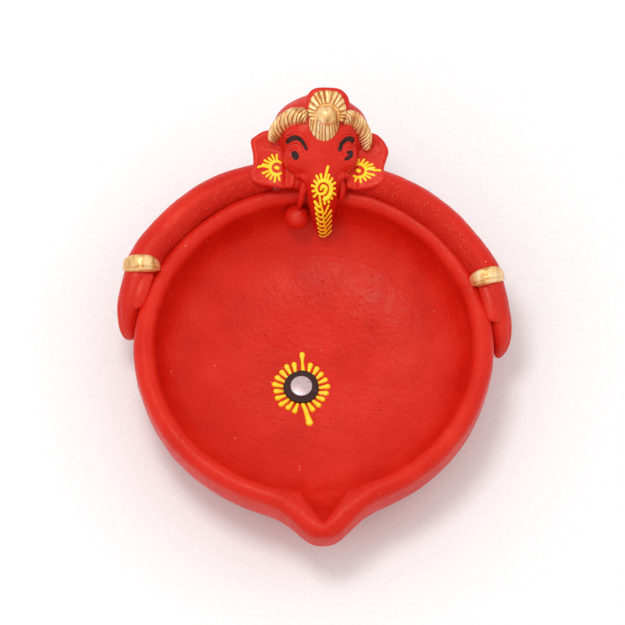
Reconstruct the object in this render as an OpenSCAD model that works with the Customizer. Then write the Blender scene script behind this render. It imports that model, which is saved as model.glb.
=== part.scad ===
// Hand-made clay oil lamp: a thrown bowl with a pinched wick spout, held by an elephant
// figure whose head rests on the back of the rim and whose arms run round it.
// The origin is the middle of the flat foot. +Z is up and the spout points to -Y.

/* [Bowl] */
// Radius of the outside wall at its widest
bowl_r = 65; // [60:0.5:70]
// Height of the top of the lip above the foot
bowl_h = 34.8; // [32:0.2:38]
// Radius of the flat foot
foot_r = 38; // [32:1:44]
// Thickness of the rolled lip
lip_t = 7.6; // [6:0.2:9]
// Height of the flat inside floor
floor_z = 7.2; // [5:0.2:9]
// Radius of the flat part of the inside floor
floor_flat_r = 20; // [14:1:26]

/* [Spout] */
// Sideways offset of the spout from the bowl's middle
spout_x = 3.6; // [0:0.2:6]
// How far the spout stands out from the wall
spout_reach = 10.2; // [6:0.2:14]
// Half width of the spout's swelling
spout_half = 11.8; // [8:0.2:16]
// How far the wick channel cuts into the lip
channel_reach = 12.3; // [8:0.1:13]
// Half width of the wick channel's mouth
channel_half = 8.2; // [6:0.2:10]
// How far the lip dips at the spout
spout_dip = 1.6; // [0:0.2:3]

/* [Head] */
// Sideways place of the head's middle
head_x = 2.5; // [0:0.1:5]
// Distance of the head's middle behind the bowl's middle
head_y = 75; // [72:0.5:78]
// Height of the head's middle
head_z = 47; // [45:0.5:49]
// Backward lean of the face
head_lean = 45; // [40:1:50]
// Diameter of the round boss on the crown
boss_d = 8.2; // [6:0.2:9]
// Number of flutes on the crown's upper fan
upper_flutes = 11; // [9:1:13]
// Number of flutes on the crown's lower fan
lower_flutes = 9; // [8:1:11]
// Number of turns on each headband
band_turns = 10; // [8:1:12]

/* [Ornaments] */
// Diameter of the round mirror
mirror_d = 8; // [6:0.5:10]
// Diameter of the painted clay bed round the mirror
bed_d = 13.2; // [12:0.2:16]
// Sideways place of the mirror
mirror_x = -4.5; // [-8:0.5:8]
// Place of the mirror from front to back
mirror_y = -6.4; // [-8:0.1:8]
// Diameter of the ball-shaped sweet
sweet_d = 9.4; // [8:0.2:10]

/* [Hidden] */

left = -1;
right = 1;

red = [0.86, 0.2, 0.14];
gold = [0.87, 0.69, 0.45];
ink = [0.29, 0.16, 0.15];
silver = [0.84, 0.77, 0.79];

ball_fn = 32;
bead_fn = 12;
roll_sides = 14;
roll_steps = 4;
twist_groove = 0.16;
twist_slant = 0.35;

// ---- Curves ----

function bezier(a, b, c, d, t) =
    pow(1 - t, 3) * a + 3 * t * pow(1 - t, 2) * b + 3 * t * t * (1 - t) * c + pow(t, 3) * d;

function ease(t) = let (u = min(max(t, 0), 1)) u * u * (3 - 2 * u);

function spline(a, b, c, d, t) =
    0.5 * (2 * b + (c - a) * t + (2 * a - 5 * b + 4 * c - d) * t * t
        + (3 * b - a - 3 * c + d) * t * t * t);

// Rows filled in smoothly between a few chosen ones
function smooth_rows(rows, steps) = [
    for (i = [0 : (len(rows) - 1) * steps])
        let (k = min(floor(i / steps), len(rows) - 2), t = i / steps - k)
        spline(rows[max(k - 1, 0)], rows[k], rows[k + 1], rows[min(k + 2, len(rows) - 1)], t)
];

function unit(v) = v / norm(v);

// ---- Bowl ----

lip_r = lip_t / 2;
lip_z = bowl_h - lip_r;
inner_r = bowl_r - lip_t;
belly_z = lip_z - 4;
wall_steps = 7;
lip_steps = 8;
inner_steps = 9;
spin_steps = 88;
spin_pull = 0.66;
channel_low_z = 14;

// Each row of the profile: radius, height, and 1 outside, 0 inside, between them on the lip
outer_rows = [
    for (i = [0 : wall_steps])
        bezier([foot_r, 0, 1], [foot_r + 15, 0.5, 1], [bowl_r, 11, 1], [bowl_r, belly_z, 1],
            i / wall_steps)
];
lip_rows = [
    for (i = [0 : lip_steps])
        let (turn = 180 * i / lip_steps)
        [bowl_r - lip_r + lip_r * cos(turn), lip_z + lip_r * sin(turn), 0.5 + 0.5 * cos(turn)]
];
inner_rows = [
    for (i = [1 : inner_steps])
        bezier([inner_r, lip_z, 0], [inner_r + 1.6, 19, 0], [inner_r - 5, floor_z, 0],
            [floor_flat_r, floor_z, 0], i / inner_steps)
];
bowl_rows = concat(outer_rows, lip_rows, inner_rows);

// The pinch moves the front of the wall outwards: broadly outside, as a sharp V inside
function pinch_out(u, z) = spout_reach * exp(-pow(abs(u) / spout_half, 2.5)) * ease((z - 3) / 20);
function pinch_in(u, z) =
    channel_reach * max(0, 1 - abs(u) / channel_half)
        * min(max((z - channel_low_z) / (lip_z - channel_low_z), 0), 1);
function dip(u, z) = spout_dip * exp(-pow(u / spout_half, 2)) * ease((z - channel_low_z) / 20);
function pinched(x, y, z, side) =
    y > 0 ? [x, y, z]
        : let (u = x - spout_x)
        [x, y - side * pinch_out(u, z) - (1 - side) * pinch_in(u, z), z - dip(u, z)];

function spin(j) = let (a = 360 * j / spin_steps) a - spin_pull * sin(a) * 180 / PI;

bowl_points = concat(
    [for (row = bowl_rows) for (j = [0 : spin_steps - 1])
        pinched(row[0] * sin(spin(j)), -row[0] * cos(spin(j)), row[1], row[2])],
    [[0, 0, 0], [0, 0, floor_z]]);
bowl_last = (len(bowl_rows) - 1) * spin_steps;
foot_mid = len(bowl_rows) * spin_steps;
floor_mid = foot_mid + 1;
bowl_faces = concat(
    [for (i = [0 : len(bowl_rows) - 2]) for (j = [0 : spin_steps - 1])
        let (a = i * spin_steps + j, b = i * spin_steps + (j + 1) % spin_steps)
        each [[a, b + spin_steps, b], [a, a + spin_steps, b + spin_steps]]],
    [for (j = [0 : spin_steps - 1]) [foot_mid, j, (j + 1) % spin_steps]],
    [for (j = [0 : spin_steps - 1])
        [floor_mid, bowl_last + (j + 1) % spin_steps, bowl_last + j]]);

module bowl_clay() {
    polyhedron(points = bowl_points, faces = bowl_faces, convexity = 6);
}

// ---- Hand-rolled clay ----

// A roll of clay: each row is x, y, z, half width and half height of its oval section.
// With turns, slanting grooves run round it as on a twisted roll.
module clay_roll(rows, across, turns = 0) {
    n = len(rows);
    groove = turns > 0 ? twist_groove : 0;
    path = [for (row = rows) [row[0], row[1], row[2]]];
    points = [
        for (i = [0 : n - 1])
            let (
                along = unit(path[min(i + 1, n - 1)] - path[max(i - 1, 0)]),
                side = unit(cross(along, across)),
                top = cross(side, along)
            )
            for (k = [0 : roll_sides - 1])
                let (
                    turn = 360 * k / roll_sides,
                    winding = 180 * (turns * i / (n - 1) + twist_slant * sin(turn)),
                    size = 1 - groove * pow(cos(winding), 4)
                )
                path[i] + size * (side * rows[i][3] * cos(turn) + top * rows[i][4] * sin(turn))
    ];
    faces = concat(
        [for (i = [0 : n - 2]) for (k = [0 : roll_sides - 1])
            let (a = i * roll_sides + k, b = i * roll_sides + (k + 1) % roll_sides)
            each [[a, b + roll_sides, b], [a, a + roll_sides, b + roll_sides]]],
        [[for (k = [0 : roll_sides - 1]) k]],
        [[for (k = [0 : roll_sides - 1]) n * roll_sides - 1 - k]]);
    polyhedron(points = points, faces = [for (f = faces) [for (i = [len(f) - 1 : -1 : 0]) f[i]]],
        convexity = 4);
}

// Rows given round the bowl: angle, radius, height and half sizes
function round_bowl(rows, side) = [
    for (row = rows)
        [side * row[1] * cos(row[0]), row[1] * sin(row[0]), row[2], row[3], row[4]]
];

// Joins what it holds into one closed skin
module one_skin() {
    resize([0, 0, 0]) children();
}

// ---- Head ----

module head_frame() {
    translate([head_x, head_y, head_z]) rotate([-head_lean, 0, 0]) children();
}

// Balls to be hulled: x, y, z, radius
dome_balls = [[-7.5, 3, 3, 10], [7.5, 3, 3, 10], [0, 2, 6, 11], [0, 3, -8, 9]];
face_balls = [[-6, -3.5, 4, 8], [6, -3.5, 4, 8], [-6, -4, -5.5, 8], [6, -4, -5.5, 8],
    [0.6, -6, -14, 6.4]];
neck_balls = [[-4, 2, -10, 8], [4, 2, -10, 8]];
neck_foot_half = 7;
neck_foot_r = 6;
neck_foot_y = 70.5;
neck_foot_z = 31;

module balls(rows, sides = ball_fn) {
    for (row = rows)
        translate([row[0], row[1], row[2]]) sphere(r = row[3], $fn = sides);
}

module head_clay() {
    head_frame() {
        hull() balls(dome_balls);
        hull() balls(face_balls);
    }
    hull() {
        head_frame() balls(neck_balls);
        for (side = [left, right])
            translate([head_x + side * neck_foot_half, neck_foot_y, neck_foot_z])
                sphere(r = neck_foot_r, $fn = ball_fn);
    }
}

module head() {
    color(red) one_skin() difference() {
        head_clay();
        bowl_clay();
    }
}

trunk_rows = [
    [3.0, 65, 47, 5.6, 5.2],
    [3.2, 60.2, 43.6, 5.5, 5],
    [3.3, 56.3, 38.6, 5.0, 4.7],
    [3.2, 54.4, 31.5, 4.6, 4.3],
    [3.2, 53.8, 24.5, 3.9, 3.7],
    [3.6, 53.6, 18.5, 3.0, 3.0],
    [3.8, 53.2, 15.2, 2.1, 2.1],
    [3.9, 53.0, 14.0, 0.9, 0.9]
];

module trunk_clay() {
    clay_roll(smooth_rows(trunk_rows, roll_steps), [0, -1, 0]);
}

module trunk() {
    color(red) one_skin() difference() {
        trunk_clay();
        head_clay();
        bowl_clay();
    }
}

// ---- Arms, hands, bangles ----

// Rows: angle round the bowl from the side, radius, height, half width, half height
arm_rows_left = [
    [76, 67.8, 36.4, 5, 6],
    [62, 68.5, 36.2, 5.7, 6.5],
    [48, 68.9, 36, 5.9, 6.6],
    [36, 69.2, 35.4, 5.9, 6.4],
    [27, 69.3, 34.6, 5.9, 6.2],
    [21, 69.1, 32.6, 5.3, 5.6]
];
arm_rows_right = [
    [76, 67, 36.4, 5, 6],
    [62, 66.8, 36.2, 5.4, 6.4],
    [48, 67, 36, 5.6, 6.5],
    [34, 67.4, 35.2, 5.5, 6.2],
    [24, 68.2, 34, 5.4, 6],
    [17, 68.4, 31.8, 4.8, 5.2]
];
hand_rows_left = [
    [29, 69.5, 35, 4.6, 5.4],
    [23, 69.4, 33.8, 4.8, 5.2],
    [18.5, 69.1, 31.6, 4.8, 5.6],
    [14, 68.8, 28.6, 4.7, 5.8],
    [10, 68.2, 24.6, 3.9, 4.9],
    [7.6, 67.5, 21.4, 3, 3.5],
    [6.7, 67.1, 19.9, 1.8, 1.8]
];
hand_rows_right = [
    [25, 68.4, 34.4, 4.6, 5.2],
    [19, 68.6, 33, 4.5, 5],
    [14, 68.6, 30.4, 4.4, 5.4],
    [9, 68.4, 26.8, 4.4, 5.6],
    [4.6, 68.3, 22, 3.6, 4.6],
    [2.2, 67.6, 18.8, 2.5, 3.2],
    [1.3, 67.2, 17.2, 1.3, 1.5]
];
// Rows: x, y, height, half width, half height
bangle_rows_left = [
    [-62.8, 32, 35.5, 6.2, 6.6],
    [-62.8, 31.7, 35.4, 6.7, 7],
    [-62.6, 29.6, 34.9, 6.9, 7.2],
    [-62.3, 27.6, 34.3, 6.7, 7],
    [-62.2, 27.3, 34.2, 6.2, 6.6]
];
bangle_rows_right = [
    [62.5, 27.4, 34.9, 5.9, 6.5],
    [62.5, 27.1, 34.8, 6.3, 6.9],
    [63, 25, 34.2, 6.5, 7.1],
    [63.5, 22.9, 33.6, 6.3, 6.9],
    [63.6, 22.6, 33.5, 5.9, 6.5]
];
thumb_rows_left = [
    [22.4, 66.3, 35.4, 3, 2],
    [18.8, 66.4, 34.8, 3.4, 2.4],
    [15.4, 65.9, 33.8, 3.2, 2.3],
    [13, 65.5, 33, 2.3, 1.7],
    [12.2, 65.3, 32.5, 1.3, 1]
];
thumb_rows_right = [
    [18.8, 66.3, 35, 3, 2],
    [16, 66.3, 34.6, 3.3, 2.4],
    [12, 66.1, 33.6, 3.2, 2.4],
    [8.6, 65.9, 32.6, 2.9, 2],
    [7.6, 65.7, 32.1, 1.9, 1.3]
];

// Turn of the right bangle about the height axis; the left one faces straight back
bangle_turn_right = 14;
wrist_block = [60, 90, 60];
finger_steps = 3;
bangle_steps = 2;

function pick(side, for_left, for_right) = side == left ? for_left : for_right;

module arm_clay(side) {
    rows = pick(side, arm_rows_left, arm_rows_right);
    clay_roll(round_bowl(smooth_rows(rows, roll_steps), side), [0, 0, 1]);
}

module hand_clay(side) {
    rows = pick(side, hand_rows_left, hand_rows_right);
    clay_roll(round_bowl(smooth_rows(rows, finger_steps), side), [0, 0, 1]);
}

module bangle_clay(side) {
    rows = pick(side, bangle_rows_left, bangle_rows_right);
    clay_roll(smooth_rows(rows, bangle_steps), [0, 0, 1]);
}

module thumb_clay(side) {
    rows = pick(side, thumb_rows_left, thumb_rows_right);
    clay_roll(round_bowl(smooth_rows(rows, finger_steps), side), [0, 0, 1]);
}

// The arm and the hand meet at a flat face inside the bangle
module beyond_wrist(side, towards_hand) {
    wrist = pick(side, bangle_rows_left, bangle_rows_right)[2];
    translate([wrist[0], wrist[1], 0]) rotate([0, 0, pick(side, 0, bangle_turn_right)])
        mirror([0, towards_hand ? 1 : 0, 0]) translate([-wrist_block[0] / 2, 0, 0]) cube(wrist_block);
}

module arm(side) {
    color(red) one_skin() difference() {
        arm_clay(side);
        bowl_clay();
        head_clay();
        beyond_wrist(side, true);
    }
}

module hand(side) {
    color(red) one_skin() difference() {
        hand_clay(side);
        bowl_clay();
        beyond_wrist(side, false);
    }
}

module bangle(side) {
    color(gold) one_skin() difference() {
        bangle_clay(side);
        bowl_clay();
        arm_clay(side);
        hand_clay(side);
    }
}

module thumb(side) {
    color(red) one_skin() difference() {
        thumb_clay(side);
        bowl_clay();
        hand_clay(side);
    }
}

// ---- Ears ----

ear_t = 3;
ear_lean = 25.6;
ear_round = 1.5;
ear_foot = [0, -8, -15.3];
corner_fn = 24;

// Outline of each ear in its own plane, x outwards from the head's middle, y upwards
ear_outline_left = [[10, 21], [19, 21], [25, 18], [25.4, 15], [24.6, 9.5], [26, 4],
    [23.6, 1], [13, -0.4], [9, 3]];
ear_outline_right = [[10, 20], [18.4, 19.6], [22.6, 17.6], [24.8, 13], [23.2, 7], [23.6, 2.6],
    [21.6, 0.4], [16.5, -1], [11.5, -0.8], [9, 3]];

module ear_clay(side) {
    outline = pick(side, ear_outline_left, ear_outline_right);
    head_frame() translate(ear_foot) rotate([90 - ear_lean, 0, 0])
        mirror([side == left ? 1 : 0, 0, 0])
        translate([0, 0, -ear_t]) linear_extrude(ear_t)
        offset(r = ear_round, $fn = corner_fn) offset(delta = -ear_round) polygon(outline);
}

module ear(side) {
    color(red) one_skin() difference() {
        ear_clay(side);
        bowl_clay();
        head_clay();
        arm_clay(side);
    }
}

// ---- Tusks ----

// The left tusk is whole, the right one is broken off short
tusk_rows_left = [
    [-2.6, 61.5, 43.6, 1.5, 1.5],
    [-3.4, 58.8, 41.4, 1.45, 1.45],
    [-4.3, 56.6, 38, 1.25, 1.25],
    [-5.0, 55, 34.2, 0.8, 0.8],
    [-5.2, 54.6, 33.2, 0.3, 0.3]
];
tusk_rows_right = [
    [9.6, 61.5, 43.4, 1.4, 1.4],
    [10.4, 59, 41, 1.35, 1.35],
    [10.3, 57.2, 38.6, 1.3, 1.3],
    [10.1, 56.2, 37, 1.2, 1.2],
    [10.1, 56, 36.7, 0.7, 0.7]
];

module tusk_clay(side) {
    clay_roll(smooth_rows(pick(side, tusk_rows_left, tusk_rows_right), finger_steps), [0, -1, 0]);
}

module tusk(side) {
    color(red) one_skin() difference() {
        tusk_clay(side);
        head_clay();
        trunk_clay();
        bowl_clay();
    }
}

// ---- Eyes and brows, laid into the face ----

eye_balls_left = [[-9, -10.3, -2, 1.6], [-9, -10.3, -2.9, 1.6]];
eye_balls_right = [[9.9, -10.3, -2, 1.6], [9.9, -10.3, -2.95, 1.6]];

module eye(side) {
    color(ink) one_skin() difference() {
        head_frame() hull() balls(pick(side, eye_balls_left, eye_balls_right));
        head_clay();
    }
}

brow_rows = [
    [12, -8.8, 2, 0.6, 0.9],
    [10.8, -9.8, 3.9, 1.1, 1.1],
    [8.8, -10.8, 4.7, 1.2, 1.1],
    [6.8, -11.4, 3, 1.1, 1.1],
    [5.2, -11.6, -0.4, 0.7, 0.9]
];

module brow(side) {
    color(ink) one_skin() difference() {
        head_frame() mirror([side == left ? 1 : 0, 0, 0])
            clay_roll(smooth_rows(brow_rows, finger_steps), [0, -1, 0]);
        head_clay();
    }
}

// ---- Crown ----

crown_x = 2.4;
boss_y = -10.4;
boss_z = 12.4;
boss_rise = 0.8;
crest_back_lean = -18;
crest_t = 3.4;
crest_back = 5.4;
crest_fn = 40;
// Discs of the crest: x, z, radius
crest_discs = [[-1.4, 3.6, 6.8], [1.4, 3.6, 6.8], [0, 1.2, 8.2]];

module crown_frame() {
    head_frame() translate([crown_x, boss_y, boss_z]) rotate([crest_back_lean, 0, 0]) children();
}

module crest_clay() {
    crown_frame() hull() for (disc = crest_discs)
        translate([disc[0], crest_back, disc[1]]) rotate([90, 0, 0])
            cylinder(r = disc[2], h = crest_t, $fn = crest_fn);
}

upper_spread = 206;
upper_side_length = 7.2;
upper_top_extra = 2.2;
upper_root_r = 1.3;
upper_tip_r = 1.45;
upper_rise = 1.25;

module fan_upper_clay() {
    crown_frame() for (i = [0 : upper_flutes - 1]) {
        turn = upper_spread * (i / (upper_flutes - 1) - 0.5);
        reach = upper_side_length + upper_top_extra * cos(turn) - upper_tip_r;
        rotate([0, turn, 0]) hull()
            balls([[0, 0, 1.5, upper_root_r], [0, upper_rise, reach, upper_tip_r]], bead_fn);
    }
}

lower_width = 9;
lower_middle_x = crown_x - 1.2;
lower_drop = 7.9;
lower_round = 6.4;
lower_top = [-10.6, boss_z - 1.8, 1];
lower_tip_y = -11.6;
lower_tip_r = 0.9;

module fan_lower_clay() {
    head_frame() for (i = [0 : lower_flutes - 1]) {
        x = lower_width * (i / (lower_flutes - 1) - 0.5);
        drop = lower_drop * sqrt(max(1 - pow(x / lower_round, 2), 0));
        hull() balls([
            [lower_middle_x + x, lower_top[0], lower_top[1], lower_top[2]],
            [lower_middle_x + x, lower_tip_y, boss_z - drop, lower_tip_r]
        ], bead_fn);
    }
}

module boss_clay() {
    crown_frame() translate([0, boss_rise, 0]) sphere(d = boss_d, $fn = ball_fn);
}

module crown_crest() {
    color(red) one_skin() difference() {
        crest_clay();
        head_clay();
    }
}

module crown_boss() {
    color(gold) one_skin() difference() {
        boss_clay();
        crest_clay();
        head_clay();
    }
}

module crown_fan_upper() {
    color(gold) one_skin() difference() {
        fan_upper_clay();
        boss_clay();
        crest_clay();
        head_clay();
    }
}

module crown_fan_lower() {
    color(gold) one_skin() difference() {
        fan_lower_clay();
        boss_clay();
        fan_upper_clay();
        crest_clay();
        head_clay();
    }
}

// ---- Headbands: a twisted roll on each side, from the crown down to the ear ----

band_rows_left = [
    [-5.6, -8.4, 11.6, 3.2, 3.2],
    [-10.3, -5.7, 10.6, 3.4, 3.4],
    [-14.6, -3.6, 6.8, 3.1, 3.1],
    [-17.3, -2.4, 0.9, 2, 2]
];
band_rows_right = [
    [9.2, -8.2, 11.2, 3.1, 3.1],
    [12.8, -5.8, 9.2, 3.1, 3.1],
    [15.5, -3.7, 4.6, 2.8, 2.8],
    [16.7, -3.1, -1.6, 1.7, 1.7]
];

module band_clay(side) {
    rows = pick(side, band_rows_left, band_rows_right);
    steps = ceil(4 * band_turns / (len(rows) - 1));
    head_frame() clay_roll(smooth_rows(rows, steps), [0, -1, 0], band_turns);
}

module headband(side) {
    color(gold) one_skin() difference() {
        band_clay(side);
        head_clay();
        ear_clay(side);
        crest_clay();
        hull() fan_upper_clay();
        hull() fan_lower_clay();
    }
}

// ---- Sweet, mirror and its bed ----

sweet_at = [-6.1, 53.2, 27.6];

module sweet_ball() {
    color(red) one_skin() difference() {
        translate(sweet_at) sphere(d = sweet_d, $fn = ball_fn);
        bowl_clay();
        trunk_clay();
        tusk_clay(left);
    }
}

bed_h = 1.1;
bed_taper = 1.2;
disc_h = 1.2;
seat_h = 0.5;
round_fn = 64;

module mirror_bed() {
    color(ink) translate([mirror_x, mirror_y, floor_z]) difference() {
        cylinder(d1 = bed_d, d2 = bed_d - bed_taper, h = bed_h, $fn = round_fn);
        translate([0, 0, bed_h - seat_h]) cylinder(d = mirror_d, h = bed_h, $fn = round_fn);
    }
}

module mirror_disc() {
    color(silver) translate([mirror_x, mirror_y, floor_z + bed_h - seat_h])
        cylinder(d = mirror_d, h = disc_h, $fn = round_fn);
}

color(red) bowl_clay();  // bowl
head();
trunk();
ear(left);  // ear_left
ear(right);  // ear_right
tusk(left);  // tusk_left
tusk(right);  // tusk_right
brow(left);  // brow_left
brow(right);  // brow_right
eye(left);  // eye_left
eye(right);  // eye_right
crown_crest();
crown_fan_upper();
crown_fan_lower();
crown_boss();
headband(left);  // headband_left
headband(right);  // headband_right
arm(left);  // arm_left
arm(right);  // arm_right
bangle(left);  // bangle_left
bangle(right);  // bangle_right
hand(left);  // hand_left
hand(right);  // hand_right
thumb(left);  // thumb_left
thumb(right);  // thumb_right
sweet_ball();
mirror_bed();
mirror_disc();
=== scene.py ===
"""Looks of a hand-made, red-painted clay oil lamp with an elephant figure on its rim.

Shapes are worked out in millimetres: the bowl and the rolled pieces as swept grids, the
modelled pieces as distance fields turned into meshes. They are stored in metres.
"""
import math

import bmesh
import bpy
import numpy as np
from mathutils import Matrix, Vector
from mathutils.bvhtree import BVHTree


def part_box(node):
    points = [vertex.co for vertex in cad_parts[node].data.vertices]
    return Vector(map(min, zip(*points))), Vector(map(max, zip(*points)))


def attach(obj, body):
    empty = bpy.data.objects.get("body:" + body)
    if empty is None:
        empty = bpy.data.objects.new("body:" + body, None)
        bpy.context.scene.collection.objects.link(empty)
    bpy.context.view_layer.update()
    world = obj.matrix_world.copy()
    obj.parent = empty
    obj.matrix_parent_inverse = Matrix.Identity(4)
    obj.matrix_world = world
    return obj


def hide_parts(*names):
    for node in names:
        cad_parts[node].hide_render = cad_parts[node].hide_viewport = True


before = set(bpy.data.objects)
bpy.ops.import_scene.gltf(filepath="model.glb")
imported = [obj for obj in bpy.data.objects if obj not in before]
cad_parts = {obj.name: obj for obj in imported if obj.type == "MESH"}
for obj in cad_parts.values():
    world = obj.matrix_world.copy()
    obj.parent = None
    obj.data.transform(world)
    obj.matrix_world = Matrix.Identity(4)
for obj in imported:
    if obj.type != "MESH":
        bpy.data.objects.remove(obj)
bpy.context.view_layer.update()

MM = 0.001
SEED = 11
LEFT, RIGHT = -1, 1
SIDES = (LEFT, "left"), (RIGHT, "right")


def node_box(node):
    """Lowest and highest corner of a CAD node, in millimetres."""
    low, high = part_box(node)
    return np.array(low) / MM, np.array(high) / MM


# ---------------------------------------------------------------- small maths

def unit(v):
    v = np.asarray(v, float)
    return v / np.maximum(np.linalg.norm(v, axis=-1, keepdims=True), 1e-9)


def ease(t):
    t = np.clip(t, 0, 1)
    return t * t * (3 - 2 * t)


def smooth_rows(rows, count):
    """Catmull-Rom through a few given rows, as count evenly spaced rows."""
    rows = np.asarray(rows, float)
    at = np.linspace(0, len(rows) - 1, count)
    k = np.minimum(at.astype(int), len(rows) - 2)
    t = (at - k)[:, None]
    a, b = rows[np.maximum(k - 1, 0)], rows[k]
    c, d = rows[k + 1], rows[np.minimum(k + 2, len(rows) - 1)]
    return 0.5 * (2 * b + (c - a) * t + (2 * a - 5 * b + 4 * c - d) * t ** 2
                  + (3 * b - a - 3 * c + d) * t ** 3)


def noise(points, size, seed):
    """Smooth noise from -1 to 1 with features of about the given size in mm."""
    lattice = np.random.default_rng(SEED + seed).uniform(-1, 1, (24, 24, 24))
    q = np.asarray(points, float) / size + 7.3 * seed
    i = np.floor(q).astype(int)
    f = q - i
    f = f * f * (3 - 2 * f)
    total = 0
    for dx in (0, 1):
        for dy in (0, 1):
            for dz in (0, 1):
                weight = (np.abs(1 - dx - f[..., 0]) * np.abs(1 - dy - f[..., 1])
                          * np.abs(1 - dz - f[..., 2]))
                corner = lattice[(i[..., 0] + dx) % 24, (i[..., 1] + dy) % 24,
                                 (i[..., 2] + dz) % 24]
                total = total + weight * corner
    return total


# ---------------------------------------------------------------- making pieces

def make_piece(name, points, faces, material, replaces=(), tints=None):
    """A mesh object in metres that rides on the lamp and stands for CAD nodes."""
    mesh = bpy.data.meshes.new(name)
    faces = faces.tolist() if isinstance(faces, np.ndarray) else faces
    mesh.from_pydata((np.asarray(points) * MM).tolist(), [], faces)
    mesh.validate()
    if facing_inwards(mesh):
        mesh.flip_normals()
    mesh.shade_smooth()
    for tint, values in (tints or {}).items():
        layer = mesh.attributes.new(tint, "FLOAT", "POINT")
        layer.data.foreach_set("value", np.asarray(values, np.float32))
    piece = bpy.data.objects.new(name, mesh)
    bpy.context.scene.collection.objects.link(piece)
    mesh.materials.append(material)
    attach(piece, "root")
    if replaces:
        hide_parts(*replaces)
    return piece


def facing_inwards(mesh):
    """Whether a closed mesh is inside out, from the sign of its volume."""
    mesh.calc_loop_triangles()
    corners = np.empty(len(mesh.vertices) * 3)
    mesh.vertices.foreach_get("co", corners)
    corners = corners.reshape(-1, 3)
    triangles = np.empty(len(mesh.loop_triangles) * 3, int)
    mesh.loop_triangles.foreach_get("vertices", triangles)
    a, b, c = corners[triangles.reshape(-1, 3)].transpose(1, 0, 2)
    return float((a * np.cross(b, c)).sum()) < 0


def closed_tube(rings, first, last):
    """Points and faces of a tube of rings, each end closed by a fan round its own point."""
    count, sides = rings.shape[:2]
    points = np.concatenate([rings.reshape(-1, 3), [first, last]])
    ring, k = np.meshgrid(np.arange(count - 1), np.arange(sides), indexing="ij")
    a = ring * sides + k
    b = ring * sides + (k + 1) % sides
    faces = np.stack([a, b, b + sides, a + sides], -1).reshape(-1, 4).tolist()
    start, end, tail = count * sides, count * sides + 1, (count - 1) * sides
    for k in range(sides):
        after = (k + 1) % sides
        faces.append([start, after, k])
        faces.append([end, tail + k, tail + after])
    return points, faces


def roll(rows, across, rings, sides, relief=None):
    """A hand-rolled piece: rows of x, y, z, half width, half height of its oval section.

    relief(t, turn, points) gives how far each point stands out along its normal, in mm.
    """
    rows = smooth_rows(rows, rings)
    path = rows[:, :3]
    along = unit(np.gradient(path, axis=0))
    side = unit(np.cross(along, across))
    top = np.cross(side, along)
    turn = np.linspace(0, 2 * math.pi, sides, endpoint=False)[None, :, None]
    out = side[:, None] * np.cos(turn) * rows[:, None, 3:4] \
        + top[:, None] * np.sin(turn) * rows[:, None, 4:5]
    points = path[:, None] + out
    if relief is not None:
        t = np.linspace(0, 1, rings)[:, None]
        height = relief(t, turn[..., 0], points)
        points = points + unit(out) * height[..., None]
    return closed_tube(points, path[0], path[-1])


def round_bowl(rows, side):
    """Rows given as angle, radius, height, half sizes turned into x, y, z, half sizes."""
    rows = np.asarray(rows, float)
    angle = np.radians(rows[:, 0])
    return np.stack([side * rows[:, 1] * np.cos(angle), rows[:, 1] * np.sin(angle),
                     rows[:, 2], rows[:, 3], rows[:, 4]], -1)


# ---------------------------------------------------------------- distance fields

CORNERS = np.array([[x, y, z] for x in (0, 1) for y in (0, 1) for z in (0, 1)])
CELL_EDGES = [(a, b) for a in range(8) for b in range(a + 1, 8)
              if np.abs(CORNERS[a] - CORNERS[b]).sum() == 1]


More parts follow.
